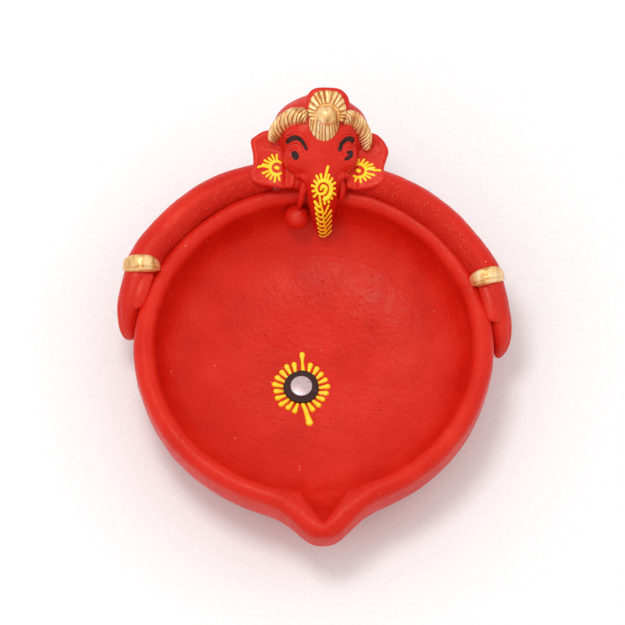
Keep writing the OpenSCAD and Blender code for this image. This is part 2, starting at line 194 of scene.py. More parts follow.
class Clay:
    """A block of space that holds the distance to a surface, negative inside."""

    def __init__(self, low, high, step):
        self.step = step
        self.low = np.asarray(low, float)
        self.count = np.ceil((np.asarray(high, float) - self.low) / step).astype(int) + 1
        self.d = np.full(tuple(self.count), 50.0, np.float32)
        self.axes = [(self.low[k] + step * np.arange(self.count[k])).astype(np.float32)
                     for k in range(3)]

    def window(self, low=None, high=None):
        """Slices of the block between two corners, and the points in it."""
        cut = []
        for k in range(3):
            first = 0 if low is None else int((low[k] - self.low[k]) / self.step)
            last = self.count[k] if high is None else int((high[k] - self.low[k]) / self.step) + 2
            cut.append(slice(max(first, 0), max(min(last, self.count[k]), 0)))
        cut = tuple(cut)
        x, y, z = (self.axes[k][cut[k]] for k in range(3))
        return cut, x[:, None, None], y[None, :, None], z[None, None, :]

    def merge(self, cut, other, blend):
        here = self.d[cut]
        if blend > 0:
            h = np.maximum(blend - np.abs(here - other), 0) / blend
            self.d[cut] = np.minimum(here, other) - h * h * blend * 0.25
        else:
            self.d[cut] = np.minimum(here, other)

    def carve(self, cut, other, blend):
        here, other = self.d[cut], -other
        h = np.maximum(blend - np.abs(here - other), 0) / max(blend, 1e-6)
        self.d[cut] = np.maximum(here, other) + h * h * blend * 0.25

    def cone(self, a, b, ra, rb, blend=0.0, pad=3.0, carve=False):
        """A rounded cone from a to b."""
        a, b = np.asarray(a, float), np.asarray(b, float)
        reach = max(ra, rb) + blend + pad
        cut, x, y, z = self.window(np.minimum(a, b) - reach, np.maximum(a, b) + reach)
        line = b - a
        length = max(float(line @ line), 1e-9)
        px, py, pz = x - a[0], y - a[1], z - a[2]
        t = np.clip((px * line[0] + py * line[1] + pz * line[2]) / length, 0, 1)
        gap = np.sqrt((px - t * line[0]) ** 2 + (py - t * line[1]) ** 2 + (pz - t * line[2]) ** 2)
        shape = gap - (ra + t * (rb - ra))
        if carve:
            self.carve(cut, shape, blend)
        else:
            self.merge(cut, shape, blend)

    def ball(self, centre, radii, blend=0.0, pad=3.0):
        """An ellipsoid along the block's own axes."""
        c = np.asarray(centre, float)
        r = np.broadcast_to(np.asarray(radii, float), 3)
        reach = r + blend + pad
        cut, x, y, z = self.window(c - reach, c + reach)
        px, py, pz = (x - c[0]) / r[0], (y - c[1]) / r[1], (z - c[2]) / r[2]
        k0 = np.sqrt(px ** 2 + py ** 2 + pz ** 2)
        k1 = np.sqrt((px / r[0]) ** 2 + (py / r[1]) ** 2 + (pz / r[2]) ** 2)
        self.merge(cut, k0 * (k0 - 1) / np.maximum(k1, 1e-6), blend)

    def mesh(self):
        """Surface nets: one point in each cell that the surface passes through."""
        d = self.d
        inside = d < 0
        n = [s - 1 for s in d.shape]
        sums = sum(inside[x:x + n[0], y:y + n[1], z:z + n[2]].astype(np.int8)
                   for x, y, z in CORNERS)
        active = (sums > 0) & (sums < 8)
        cells = np.argwhere(active)
        index = np.full(active.shape, -1, np.int64)
        index[active] = np.arange(len(cells))
        values = [d[tuple((cells + c).T)] for c in CORNERS]
        total = np.zeros((len(cells), 3))
        hits = np.zeros(len(cells))
        for a, b in CELL_EDGES:
            fa, fb = values[a].astype(float), values[b].astype(float)
            crossed = (fa < 0) != (fb < 0)
            t = np.where(crossed, fa / np.where(crossed, fa - fb, 1), 0)
            spot = CORNERS[a] + t[:, None] * (CORNERS[b] - CORNERS[a])
            total += spot * crossed[:, None]
            hits += crossed
        points = self.low + self.step * (cells + total / hits[:, None])
        faces = []
        for axis in range(3):
            u, v = (axis + 1) % 3, (axis + 2) % 3
            low_cut, high_cut = [slice(None)] * 3, [slice(None)] * 3
            low_cut[axis], high_cut[axis] = slice(None, -1), slice(1, None)
            a, b = inside[tuple(low_cut)], inside[tuple(high_cut)]
            spots = np.argwhere(a != b)
            fits = (spots[:, u] > 0) & (spots[:, v] > 0)
            fits &= (spots[:, u] < index.shape[u]) & (spots[:, v] < index.shape[v])
            spots = spots[fits]
            du, dv = np.zeros(3, int), np.zeros(3, int)
            du[u], dv[v] = 1, 1
            ring = [spots - du - dv, spots - dv, spots, spots - du]
            quad = np.stack([index[tuple(r.T)] for r in ring], -1)
            outward = a[tuple(spots.T)]
            quad[~outward] = quad[~outward][:, ::-1]
            faces.append(quad)
        return points, np.concatenate(faces)


def along_segment(x, z, a, b):
    """Share of the way along a segment that lies nearest to each place, and the gap to it."""
    ex, ez = b[0] - a[0], b[1] - a[1]
    t = np.clip(((x - a[0]) * ex + (z - a[1]) * ez) / (ex * ex + ez * ez + 1e-12), 0, 1)
    return t, np.hypot(x - a[0] - t * ex, z - a[1] - t * ez)


def polygon_distance(x, z, outline):
    """Signed distance in a plane to a closed outline, negative inside."""
    best = np.full(np.broadcast(x, z).shape, 1e9)
    inside = np.zeros(best.shape, bool)
    for a, b in zip(outline, np.roll(outline, -1, axis=0)):
        best = np.minimum(best, along_segment(x, z, a, b)[1])
        slope = (b[0] - a[0]) / (b[1] - a[1] + 1e-12)
        inside ^= ((a[1] > z) != (b[1] > z)) & (x < slope * (z - a[1]) + a[0])
    return np.where(inside, -1, 1) * best


def stroke_distance(x, z, line, half=0, dense=10):
    """Distance to a stroke whose half width changes along it, negative inside."""
    stroke = np.column_stack([line, np.broadcast_to(half, len(line))])
    rows = smooth_rows(stroke, dense * len(line))
    best = np.full(np.broadcast(x, z).shape, 1e9)
    for a, b in zip(rows[:-1], rows[1:]):
        t, gap = along_segment(x, z, a, b)
        best = np.minimum(best, gap - (a[2] + t * (b[2] - a[2])))
    return best


def plate(flat, depth, rounding):
    """Rounded plate: signed distance in its plane and how far past its faces."""
    a, b = flat + rounding, depth + rounding
    return np.sqrt(np.maximum(a, 0) ** 2 + np.maximum(b, 0) ** 2) \
        + np.minimum(np.maximum(a, b), 0) - rounding


# ---------------------------------------------------------------- materials

RED = (0.620, 0.0100, 0.0030, 1)
RED_DEEP = (0.550, 0.0055, 0.0016, 1)
RED_BRIGHT = (0.680, 0.0190, 0.0095, 1)
WARM_SHEEN = (1.0, 0.82, 0.66, 1)
# Pale specks in the paint; the arm paint also uses this colour for painted glints.
RED_SPECK_AND_GLINT = (0.86, 0.30, 0.24, 1)
GOLD = (0.84, 0.51, 0.20, 1)
GOLD_PALE = (0.96, 0.76, 0.46, 1)
GOLD_DARK = (0.52, 0.20, 0.05, 1)
GOLD_MISSED = (0.42, 0.030, 0.008, 1)
INK = (0.020, 0.0050, 0.0045, 1)
INK_PALE = (0.065, 0.022, 0.019, 1)
YELLOW = (1.0, 0.66, 0.008, 1)
YELLOW_DEEP = (0.93, 0.42, 0.006, 1)
YELLOW_PALE = (1.0, 0.74, 0.02, 1)
# Pinkish greys that paint the mirror's reflection into its colour.
PAINTED_REFLECTION_GREY = (0.52, 0.40, 0.415, 1)
PAINTED_REFLECTION_PALE = (0.60, 0.47, 0.49, 1)


class Paint:
    """A node material with a few shared building blocks."""

    def __init__(self, name):
        self.material = bpy.data.materials.new(name)
        self.material.use_nodes = True
        self.tree = self.material.node_tree
        self.shader = self.tree.nodes["Principled BSDF"]
        self.place = self.tree.nodes.new("ShaderNodeTexCoord").outputs["Object"]

    def node(self, kind, **settings):
        made = self.tree.nodes.new(kind)
        for key, value in settings.items():
            if hasattr(made, key):
                setattr(made, key, value)
            else:
                made.inputs[key].default_value = value
        return made

    def link(self, source, target):
        self.tree.links.new(source, target)

    def grain(self, size_mm, detail=3.0, roughness=0.55, place=None):
        made = self.node("ShaderNodeTexNoise", Scale=1 / (size_mm * MM), Detail=detail,
                         Roughness=roughness)
        self.link(place or self.place, made.inputs["Vector"])
        return made.outputs["Fac"]

    def ramp(self, source, stops):
        made = self.node("ShaderNodeValToRGB")
        ramp = made.color_ramp
        while len(ramp.elements) < len(stops):
            ramp.elements.new(0.5)
        for element, (at, colour) in zip(ramp.elements, stops):
            element.position = at
            element.color = colour
        self.link(source, made.inputs["Fac"])
        return made.outputs["Color"]

    def levels(self, source, low, high, to_low=0.0, to_high=1.0):
        ends = {"From Min": low, "From Max": high, "To Min": to_low, "To Max": to_high}
        made = self.node("ShaderNodeMapRange", **ends)
        self.link(source, made.inputs["Value"])
        return made.outputs["Result"]

    def mix(self, factor, a, b):
        made = self.node("ShaderNodeMix", data_type="RGBA")
        self.link(factor, made.inputs[0])
        for socket, value in ((made.inputs[6], a), (made.inputs[7], b)):
            if isinstance(value, tuple):
                socket.default_value = value
            else:
                self.link(value, socket)
        return made.outputs[2]

    def tint(self, name):
        made = self.node("ShaderNodeAttribute", attribute_name=name)
        return made.outputs["Fac"]

    def sums(self, a, b, operation="ADD"):
        made = self.node("ShaderNodeMath", operation=operation)
        for socket, value in zip(made.inputs, (a, b)):
            if isinstance(value, (int, float)):
                socket.default_value = value
            else:
                self.link(value, socket)
        return made.outputs[0]

    def bump(self, height, distance_mm, strength=1.0, below=None):
        made = self.node("ShaderNodeBump", Strength=strength, Distance=distance_mm * MM)
        self.link(height, made.inputs["Height"])
        if below is not None:
            self.link(below, made.inputs["Normal"])
        return made.outputs["Normal"]

    def pits(self, size_mm, share, dot=0.15):
        """Small round spots over a share of the cells, dot being their size in a cell."""
        cells = self.node("ShaderNodeTexVoronoi", Scale=1 / (size_mm * MM), Randomness=1.0)
        self.link(self.place, cells.inputs["Vector"])
        split = self.node("ShaderNodeSeparateColor")
        self.link(cells.outputs["Color"], split.inputs["Color"])
        chosen = self.levels(split.outputs[0], share, share * 0.98)
        spot = self.levels(cells.outputs["Distance"], dot * 1.4, dot * 0.6)
        return self.sums(chosen, spot, "MULTIPLY")

    def finish(self, colour, roughness, normal, **constants):
        self.link(colour, self.shader.inputs["Base Color"])
        if isinstance(roughness, (int, float)):
            self.shader.inputs["Roughness"].default_value = roughness
        else:
            self.link(roughness, self.shader.inputs["Roughness"])
        self.link(normal, self.shader.inputs["Normal"])
        for name, value in constants.items():
            self.shader.inputs[name.replace("_", " ")].default_value = value
        return self.material


def red_paint(name, gloss, throwing=False, porous_and_painted_light=False):
    """Satin red paint over clay; throwing adds turned rings, and the porous switch adds a porous skin,
    painted lighter as painted light and dotted with painted glints.
    """
    paint = Paint(name)
    broad = paint.grain(14, 2)
    fine = paint.grain(1.3, 4, 0.6)
    colour = paint.ramp(broad, [(0.30, RED_DEEP), (0.52, RED), (0.75, RED_BRIGHT)])
    colour = paint.mix(paint.levels(fine, 0.35, 0.75, 0.0, 0.35), colour, RED_BRIGHT)
    specks = paint.pits(2.6, 0.05, 0.085)
    colour = paint.mix(specks, colour, RED_SPECK_AND_GLINT)
    wear = paint.sums(paint.grain(3.5, 3), 0.5)
    peel = paint.grain(1.7, 2, 0.45)
    normal = paint.bump(peel, 0.22, 0.8)
    normal = paint.bump(fine, 0.07, 0.8, normal)
    normal = paint.bump(paint.pits(3.0, 0.30, 0.14), 0.16, 1.0, normal)
    holes = paint.sums(paint.pits(2.4, 0.2, 0.16), -1, "MULTIPLY")
    normal = paint.bump(holes, 0.10, 1.0, normal)
    if throwing:
        split = paint.node("ShaderNodeSeparateXYZ")
        paint.link(paint.place, split.inputs[0])
        squared = paint.sums(paint.sums(split.outputs[0], split.outputs[0], "MULTIPLY"),
                             paint.sums(split.outputs[1], split.outputs[1], "MULTIPLY"))
        radius = paint.sums(squared, 0.5, "POWER")
        wander = paint.sums(paint.grain(22, 2), 0.0022, "MULTIPLY")
        turned = paint.sums(paint.sums(radius, split.outputs[2]), wander)
        wave = paint.sums(paint.sums(turned, 2 * math.pi / (1.15 * MM), "MULTIPLY"), 0, "SINE")
        wide = paint.sums(paint.sums(turned, 2 * math.pi / (3.1 * MM), "MULTIPLY"), 0, "SINE")
        rings = paint.sums(wave, paint.sums(wide, 1.4, "MULTIPLY"))
        normal = paint.bump(rings, 0.004, 1.0, normal)
    if porous_and_painted_light:
        pores = paint.grain(1.1, 5, 0.7)
        where = paint.tint("porous_and_painted_light")
        deep = paint.sums(paint.levels(pores, 0.42, 0.60), where, "MULTIPLY")
        normal = paint.bump(deep, 0.16, 1.0, normal)
        # Painted light: the rim side of the arm is painted lighter so that its shade reads paler.
        colour = paint.mix(paint.sums(where, 0.5, "MULTIPLY"), colour, RED_BRIGHT)
        # Painted highlights: pale glints dotted over the rim side.
        glints = paint.sums(paint.pits(1.3, 0.22, 0.15), where, "MULTIPLY")
        colour = paint.mix(paint.sums(glints, 0.6, "MULTIPLY"), colour, RED_SPECK_AND_GLINT)
    roughness = paint.levels(wear, 0.85, 1.2, 0.36, 0.50)
    return paint.finish(colour, roughness, normal, Specular_IOR_Level=gloss, IOR=1.46,
                        Specular_Tint=WARM_SHEEN)


def gold_paint(name):
    """Brushed gold paint, painted darker in its grooves as painted shade; the red shows where the brush
    missed the grooves.
    """
    paint = Paint(name)
    streak = paint.node("ShaderNodeMapping")
    streak.inputs["Scale"].default_value = (1.0, 0.35, 0.35)
    paint.link(paint.place, streak.inputs["Vector"])
    broad = paint.grain(2.6, 3, 0.6, streak.outputs["Vector"])
    fine = paint.grain(0.5, 4, 0.7)
    colour = paint.ramp(broad, [(0.32, GOLD_DARK), (0.48, GOLD), (0.72, GOLD_PALE)])
    groove = paint.tint("groove")
    # Painted shade: the gold is painted darker down into the grooves.
    colour = paint.mix(paint.levels(groove, 0.1, 0.8, 0.0, 0.75), colour, GOLD_DARK)
    patchy = paint.levels(paint.grain(2.2, 3), 0.40, 0.62, -0.50, 0.12)
    missed = paint.sums(paint.sums(groove, patchy), paint.levels(fine, 0.3, 0.75, -0.12, 0.12))
    missed = paint.levels(missed, 0.50, 0.76)
    colour = paint.mix(missed, colour, GOLD_MISSED)
    metal = paint.levels(missed, 0, 1, 0.62, 0.0)
    paint.link(metal, paint.shader.inputs["Metallic"])
    roughness = paint.levels(fine, 0.3, 0.7, 0.26, 0.46)
    normal = paint.bump(broad, 0.22, 1.0)
    normal = paint.bump(fine, 0.05, 0.8, normal)
    return paint.finish(colour, roughness, normal, Specular_IOR_Level=0.5)


def dark_paint(name):
    paint = Paint(name)
    fine = paint.grain(0.6, 4, 0.65)
    colour = paint.ramp(fine, [(0.38, INK), (0.68, INK_PALE)])
    roughness = paint.levels(fine, 0.3, 0.7, 0.36, 0.60)
    normal = paint.bump(fine, 0.16, 0.9)
    return paint.finish(colour, roughness, normal, Specular_IOR_Level=0.22)


def yellow_paint(name):
    """Thick cone-drawn paint; tint fades towards orange where it is drawn thin."""
    paint = Paint(name)
    broad = paint.grain(2.2, 2)
    fine = paint.grain(0.5, 3)
    colour = paint.ramp(broad, [(0.20, YELLOW_DEEP), (0.36, YELLOW), (0.8, YELLOW_PALE)])
    colour = paint.mix(paint.tint("thin"), colour, (0.86, 0.22, 0.012, 1))
    roughness = paint.levels(fine, 0.3, 0.7, 0.26, 0.40)
    normal = paint.bump(fine, 0.04, 0.6)
    return paint.finish(colour, roughness, normal, Specular_IOR_Level=0.5)


def mirror_glass(name):
    """A small craft mirror, a little dull, with a few dark blemishes; its pinkish grey colour is a
    painted reflection.
    """
    paint = Paint(name)
    dust = paint.grain(1.6, 4, 0.65)
    # Painted reflection: the mirror's colour is a pinkish grey, mottled by dust.
    colour = paint.ramp(dust, [(0.35, PAINTED_REFLECTION_GREY), (0.75, PAINTED_REFLECTION_PALE)])
    colour = paint.mix(paint.pits(2.3, 0.4, 0.10), colour, INK_PALE)
    roughness = paint.levels(dust, 0.3, 0.7, 0.26, 0.36)
    normal = paint.bump(dust, 0.02, 0.3)
    paint.shader.inputs["Metallic"].default_value = 0.35
    return paint.finish(colour, roughness, normal)


def floor_paper(name):
    paint = Paint(name)
    fine = paint.grain(2.0, 3)
    colour = paint.ramp(fine, [(0.3, (0.86, 0.86, 0.86, 1)), (0.7, (0.90, 0.90, 0.90, 1))])
    normal = paint.bump(fine, 0.02, 0.3)
    return paint.finish(colour, 0.9, normal, Specular_IOR_Level=0.1)


RED_BOWL = red_paint("red_bowl_paint", 0.30, throwing=True)
RED_ARM = red_paint("red_arm_paint", 0.32, porous_and_painted_light=True)
RED_FIGURE = red_paint("red_figure_paint", 0.42)
GOLD_PAINT = gold_paint("gold_brushed_paint")
DARK_PAINT = dark_paint("dark_detail_paint")
YELLOW_PAINT = yellow_paint("yellow_cone_paint")
MIRROR = mirror_glass("craft_mirror_glass")

# ---------------------------------------------------------------- bowl

bowl_low, bowl_high = node_box("bowl")
BOWL_R = (bowl_high[0] - bowl_low[0]) / 2
BOWL_H = bowl_high[2]
FOOT_R = 38.0
LIP_R = 3.8
FLOOR_Z = node_box("mirror_bed")[0][2]
FLOOR_FLAT_R = 20.0
SPOUT_X = 3.6
SPOUT_REACH = -bowl_low[1] - BOWL_R
SPOUT_HALF = 11.8
CHANNEL_REACH = 12.3
CHANNEL_HALF = 8.2
SPOUT_DIP = 1.6
CHANNEL_LOW_Z = 14.0
LIP_Z = BOWL_H - LIP_R
INNER_R = BOWL_R - 2 * LIP_R
RING_R = 45.0
SPIN = 600
SPIN_PULL = 0.5


def bezier(points, count):
    a, b, c, d = (np.array(p, float) for p in points)
    t = np.linspace(0, 1, count)[:, None]
    return (1 - t) ** 3 * a + 3 * t * (1 - t) ** 2 * b + 3 * t * t * (1 - t) * c + t ** 3 * d


def bowl_profile():
    """Rows of radius, height and outside share, from the middle of the foot to the floor's."""
    foot = np.stack([np.linspace(0.5, FOOT_R, 14), np.zeros(14), np.ones(14)], -1)
    wall = bezier([(FOOT_R, 0, 1), (FOOT_R + 15, 0.5, 1), (BOWL_R, 11, 1),
                   (BOWL_R, LIP_Z - 4, 1)], 60)
    turn = np.linspace(0, math.pi, 34)
    lip = np.stack([BOWL_R - LIP_R + LIP_R * np.cos(turn), LIP_Z + LIP_R * np.sin(turn),
                    0.5 + 0.5 * np.cos(turn)], -1)
    inner = bezier([(INNER_R, LIP_Z, 0), (INNER_R + 1.6, 19, 0), (INNER_R - 5, FLOOR_Z, 0),
                    (FLOOR_FLAT_R, FLOOR_Z, 0)], 92)
    floor = np.stack([np.linspace(FLOOR_FLAT_R, 0.4, 34), np.full(34, FLOOR_Z), np.zeros(34)], -1)
    return np.concatenate([foot, wall[1:], lip[1:], inner[1:], floor[1:]])


def make_bowl():
    rows = bowl_profile()
    turn = np.linspace(0, 2 * math.pi, SPIN, endpoint=False)
    turn = turn - SPIN_PULL * np.sin(turn)
    r, z, side = (rows[:, k:k + 1] for k in range(3))
    x, y = r * np.sin(turn), -r * np.cos(turn)
    z = z + 0 * x
    u = x - SPOUT_X
    front = y < 0
    outward = SPOUT_REACH * np.exp(-(np.abs(u) / SPOUT_HALF) ** 2.5) * ease((z - 3) / 20)
    edge = np.sqrt(u * u + 0.5)
    inward = CHANNEL_REACH * np.maximum(0, 1 - edge / CHANNEL_HALF) \
        * np.clip((z - CHANNEL_LOW_Z) / (LIP_Z - CHANNEL_LOW_Z), 0, 1)
    dip = SPOUT_DIP * np.exp(-(u / SPOUT_HALF) ** 2) * ease((z - CHANNEL_LOW_Z) / 20)
    y = y - front * (side * outward + (1 - side) * inward)
    z = z - front * dip
    points = np.stack([x, y, z], -1)
    normal = np.cross(np.gradient(points, axis=1), np.gradient(points, axis=0))
    normal = unit(normal)
    inside = (1 - side) * ease((np.hypot(x, y) - 24) / 8) * ease((LIP_Z + 2 - z) / 3)
    above_foot = ease(z / 1.5)
    hand = 0.22 * noise(points, 17, 1) + 0.09 * noise(points, 6, 2) + 0.035 * noise(points, 2.2, 3)
    turned = np.hypot(x + 1.0, y - 0.6) + 0.5 * noise(points, 20, 4)
    ring = 0.02 * np.exp(-((turned - RING_R - 1.3) / 0.9) ** 2) \
        - 0.04 * np.exp(-((turned - RING_R) / 0.55) ** 2)
    rings = 0.010 * np.sin(2 * math.pi * (np.hypot(x, y) + z) / 2.3 + 1.5 * noise(points, 15, 5))
    calm = 1 - 0.9 * (np.hypot(x - mirror_mid[0], y - mirror_mid[1]) < 10)
    move = above_foot * (hand * (0.5 + 0.5 * calm) + inside * (ring + rings))
    points = points + normal * move[..., None]
    points, faces = closed_tube(points, (0, 0, 0), (0, 0, FLOOR_Z))
    return make_piece("bowl_thrown", points, faces, RED_BOWL, ["bowl"])


mirror_low, mirror_high = node_box("mirror_disc")
mirror_mid = (mirror_low + mirror_high) / 2
MIRROR_R = (mirror_high[0] - mirror_low[0]) / 2
bowl_piece = make_bowl()

# ---------------------------------------------------------------- head frame

head_low, head_high = node_box("head")
HEAD = np.array([(head_low[0] + head_high[0]) / 2, 75.0, 47.0])
LEAN = math.radians(45)


def lean_back(points, angle, place):
    """Points leant back about the sideways axis, then moved to a place."""
    p = np.asarray(points, float)
    c, s = math.cos(angle), math.sin(angle)
    return np.stack([p[..., 0], c * p[..., 1] + s * p[..., 2],
                     -s * p[..., 1] + c * p[..., 2]], -1) + place


def head_to_world(points):
    return lean_back(points, LEAN, HEAD)


def world_to_head(points):
    return lean_back(np.asarray(points, float) - HEAD, -LEAN, 0)


# ---------------------------------------------------------------- head and trunk

TRUNK_ROWS = [
    [3.0, 65, 47, 5.4], [3.2, 60.2, 43.6, 5.3], [3.3, 56.3, 38.6, 4.9], [3.2, 54.4, 31.5, 4.5],
    [3.2, 53.8, 24.5, 3.8], [3.6, 53.6, 18.5, 3.0], [3.8, 53.2, 15.2, 2.2], [3.9, 53.0, 14.4, 1.5],
]
BROWS = {
    LEFT: [(-12.2, 1.0), (-10.9, 3.0), (-8.9, 4.1), (-6.8, 3.0), (-5.1, 0.1)],
    RIGHT: [(7.1, -0.2), (7.8, 2.0), (9.5, 3.4), (11.1, 3.1), (11.7, 1.7)],
}
BROW_HALF = {LEFT: [0.5, 0.9, 1.0, 0.8, 0.5], RIGHT: [0.75, 0.85, 1.0, 0.95, 0.6]}
EYES = {
    LEFT: [(-9.3, -2.3), (-9.15, -2.7)],
    RIGHT: [(9.9, -1.5), (11.0, -2.0), (10.8, -3.1), (9.3, -3.8)],
}
EYE_HALF = {LEFT: [1.4, 1.4], RIGHT: [0.5, 0.75, 0.85, 0.6]}
CARVED = [
    ([(-12.0, 4.0), (-9.0, 5.9), (-6.0, 4.6), (-4.2, 0.8)], 0.35, 0.40),
    ([(-11.4, 0.2), (-9.4, 1.9), (-7.4, 1.0), (-6.3, -1.2)], 0.30, 0.32),
    ([(6.0, 0.6), (6.7, 3.4), (9.4, 5.1), (12.2, 4.4)], 0.35, 0.40),
    ([(8.2, -0.6), (9.5, 1.5), (11.6, 0.9)], 0.30, 0.32),
    ([(-11.2, -1.6), (-9.4, -0.2), (-7.5, -1.5), (-7.4, -3.6), (-9.3, -5.0), (-11.2, -3.8)], 0.30, 0.34),
    ([(8.2, -2.4), (9.4, -0.3), (12.0, -0.8), (12.2, -3.6), (10.2, -5.1), (8.2, -4.4)], 0.30, 0.34),
    ([(-13.3, 2.5), (-13.7, -2.0), (-12.6, -6.6), (-10.2, -10.6)], 0.28, 0.30),
    ([(13.8, 2.0), (13.6, -2.5), (12.6, -6.6), (10.4, -10.4)], 0.28, 0.30),
    ([(-6.6, -8.6), (-7.8, -10.4), (-7.4, -12.4)], 0.30, 0.26),
    ([(8.2, -8.2), (9.2, -10.0), (8.8, -12.2)], 0.30, 0.26),
]


def face_relief(x, z):
    """How far the face stands back (positive) or out (negative) at a place on it."""
    relief = np.zeros(np.broadcast(x, z).shape)
    for line, half, depth in CARVED:
        relief += 1.5 * depth * np.exp(-(stroke_distance(x, z, line, dense=8) / half) ** 2)
    for side in (LEFT, RIGHT):
        brow = stroke_distance(x, z, BROWS[side], BROW_HALF[side])
        eye = stroke_distance(x, z, EYES[side], EYE_HALF[side])
        relief += 0.42 * ease((0.25 - brow) / 0.4)
        relief += 0.35 * ease((0.25 - eye) / 0.4)
        relief -= 0.30 * np.exp(-((brow - 0.75) / 0.35) ** 2)
        relief -= 0.26 * np.exp(-((eye - 0.7) / 0.32) ** 2)
    return relief


HEAD_BLOCK = (-19.5, -15.5, -43), (19.5, 20, 19.5)
HEAD_STEP = 0.25
INLAY_STEP = 0.125


def head_clay():
    """Dome and neck, then the raised face, the trunk, the mouth and the drawn relief."""
    clay = Clay(*HEAD_BLOCK, HEAD_STEP)
    clay.cone((-7.5, 3, 3), (7.5, 3, 3), 10, 10)
    clay.ball((0, 2, 6), 11, 5)
    clay.ball((0, 3, -8), 9, 5)
    for side in (LEFT, RIGHT):
        clay.cone((4 * side, 2, -10), (7 * side, 8.1, -14.5), 8, 6, 3)
    clay.cone((-7, 8.1, -14.5), (7, 8.1, -14.5), 6, 6, 3)
    face = Clay(*HEAD_BLOCK, HEAD_STEP)
    face.cone((-5.8, -3.3, 4.2), (5.8, -3.3, 4.2), 7.9, 7.9)
    face.cone((-5.9, -4, -4.5), (5.9, -4, -4.5), 7.7, 7.7, 2)
    face.cone((-5.9, -4, -5), (-1.6, -5.6, -13.2), 7.4, 5.0, 2)
    face.cone((5.9, -4, -5), (2.4, -5.6, -13.2), 7.4, 5.0, 2)
    face.cone((0.4, -5.2, 0), (0.6, -7.2, -13), 7.2, 5.6, 3)
    whole, x, y, z = clay.window()
    clay.merge(whole, face.d, 1.3)
    trunk = np.array(TRUNK_ROWS)
    local = np.column_stack([world_to_head(trunk[:, :3]), trunk[:, 3]])
    local = smooth_rows(local, 30)
    for a, b in zip(local[:-1], local[1:]):
        clay.cone(a[:3], b[:3], a[3], b[3], 1.6 if a[2] > -22 else 0.4, 2.0)
    mid = 0.6
    for side in (LEFT, RIGHT):
        for lump in ((9.4, -3.6, -14.6, 3.0), (6.6, -3.2, -16.2, 2.8)):
            clay.ball((mid + side * lump[0], lump[1], lump[2]), lump[3], 1.2)
        fold = smooth_rows([(mid + side * 9.2, -7.4, -11.5), (mid + side * 7.4, -9.6, -10.6),
                            (mid + side * 5.4, -9.4, -12.4), (mid + side * 5.0, -8.0, -15.0)], 10)
        for a, b in zip(fold[:-1], fold[1:]):
            clay.cone(a, b, 1.0, 1.0, 0.9, 2.0)
    flat_x, flat_z = x[:, :, 0], z[:, 0, :]
    relief = face_relief(flat_x, flat_z)[:, None, :].astype(np.float32)
    clay.d += relief * ease((-y - 1.5) / 2)
    return clay


def shifted_noise(clay, size, amount, seed):
    """Uneven hand pressure, added to the cells of a block that are near its surface."""
    spots = np.argwhere(np.abs(clay.d) < 2.5)
    points = clay.low + clay.step * spots
    clay.d[tuple(spots.T)] += (amount * noise(points, size, seed)).astype(np.float32)


head = head_clay()
shifted_noise(head, 7.0, 0.16, 21)
shifted_noise(head, 2.4, 0.045, 22)
points, faces = head.mesh()
make_piece("head_with_trunk", head_to_world(points), faces, RED_FIGURE,
           ["head", "trunk"])
head_tree = BVHTree.FromPolygons(head_to_world(points).tolist(), faces.tolist())


def inlay(name, line, half, node):
    """Dark paint that fills a carved stroke of the face."""
    line = np.asarray(line, float)
    low = (line[:, 0].min() - 2, -14.5, line[:, 1].min() - 2)
    high = (line[:, 0].max() + 2, -3.0, line[:, 1].max() + 2)
    block = Clay(low, high, INLAY_STEP)
    _, x, y, z = block.window()
    mask = stroke_distance(x[:, :, 0], z[:, 0, :], line, half)[:, None, :]
    skin = sample(head, np.stack(np.broadcast_arrays(x, y, z), -1))
    shell = np.maximum(skin - 0.10, -(skin + 0.7))
    block.d = np.maximum(plate(mask, shell, 0.1), -50).astype(np.float32)
    points, faces = block.mesh()
    make_piece(name, head_to_world(points), faces, DARK_PAINT, [node])


def sample(clay, points):
    """Distance at any points of a block, by straight interpolation."""
    q = (points - clay.low) / clay.step
    i = np.clip(np.floor(q).astype(int), 0, clay.count - 2)
    f = q - i
    total = 0
    for c in CORNERS:
        weight = np.prod(np.where(c == 1, f, 1 - f), -1)
        j = i + c
        total = total + weight * clay.d[j[..., 0], j[..., 1], j[..., 2]]
    return total


for side, word in SIDES:
    inlay("brow_ink_" + word, BROWS[side], BROW_HALF[side], "brow_" + word)
    inlay("eye_ink_" + word, EYES[side], EYE_HALF[side], "eye_" + word)

# ---------------------------------------------------------------- ears

EAR_LEAN = math.radians(25.6)
EAR_FOOT = np.array([0, -8.0, -15.3])
EAR_T = 3.0
EAR_OUTLINES = {
    LEFT: [(-8, 21), (-19, 21), (-24.2, 18.6), (-25.6, 16.6), (-24.8, 12), (-24.8, 8), (-26, 4.5),
           (-25.2, 2), (-22.5, 0.7), (-18, 0), (-13, -0.4), (-9, 2)],
    RIGHT: [(8, 20), (18.4, 20), (22.0, 18.2), (24.2, 15.2), (24.9, 12.6), (24, 9.6), (23.2, 6.6),
            (23.8, 3.2), (22.4, 0.9), (19.5, -0.4), (15.5, -1), (11.5, -0.8), (9, 2)],
}


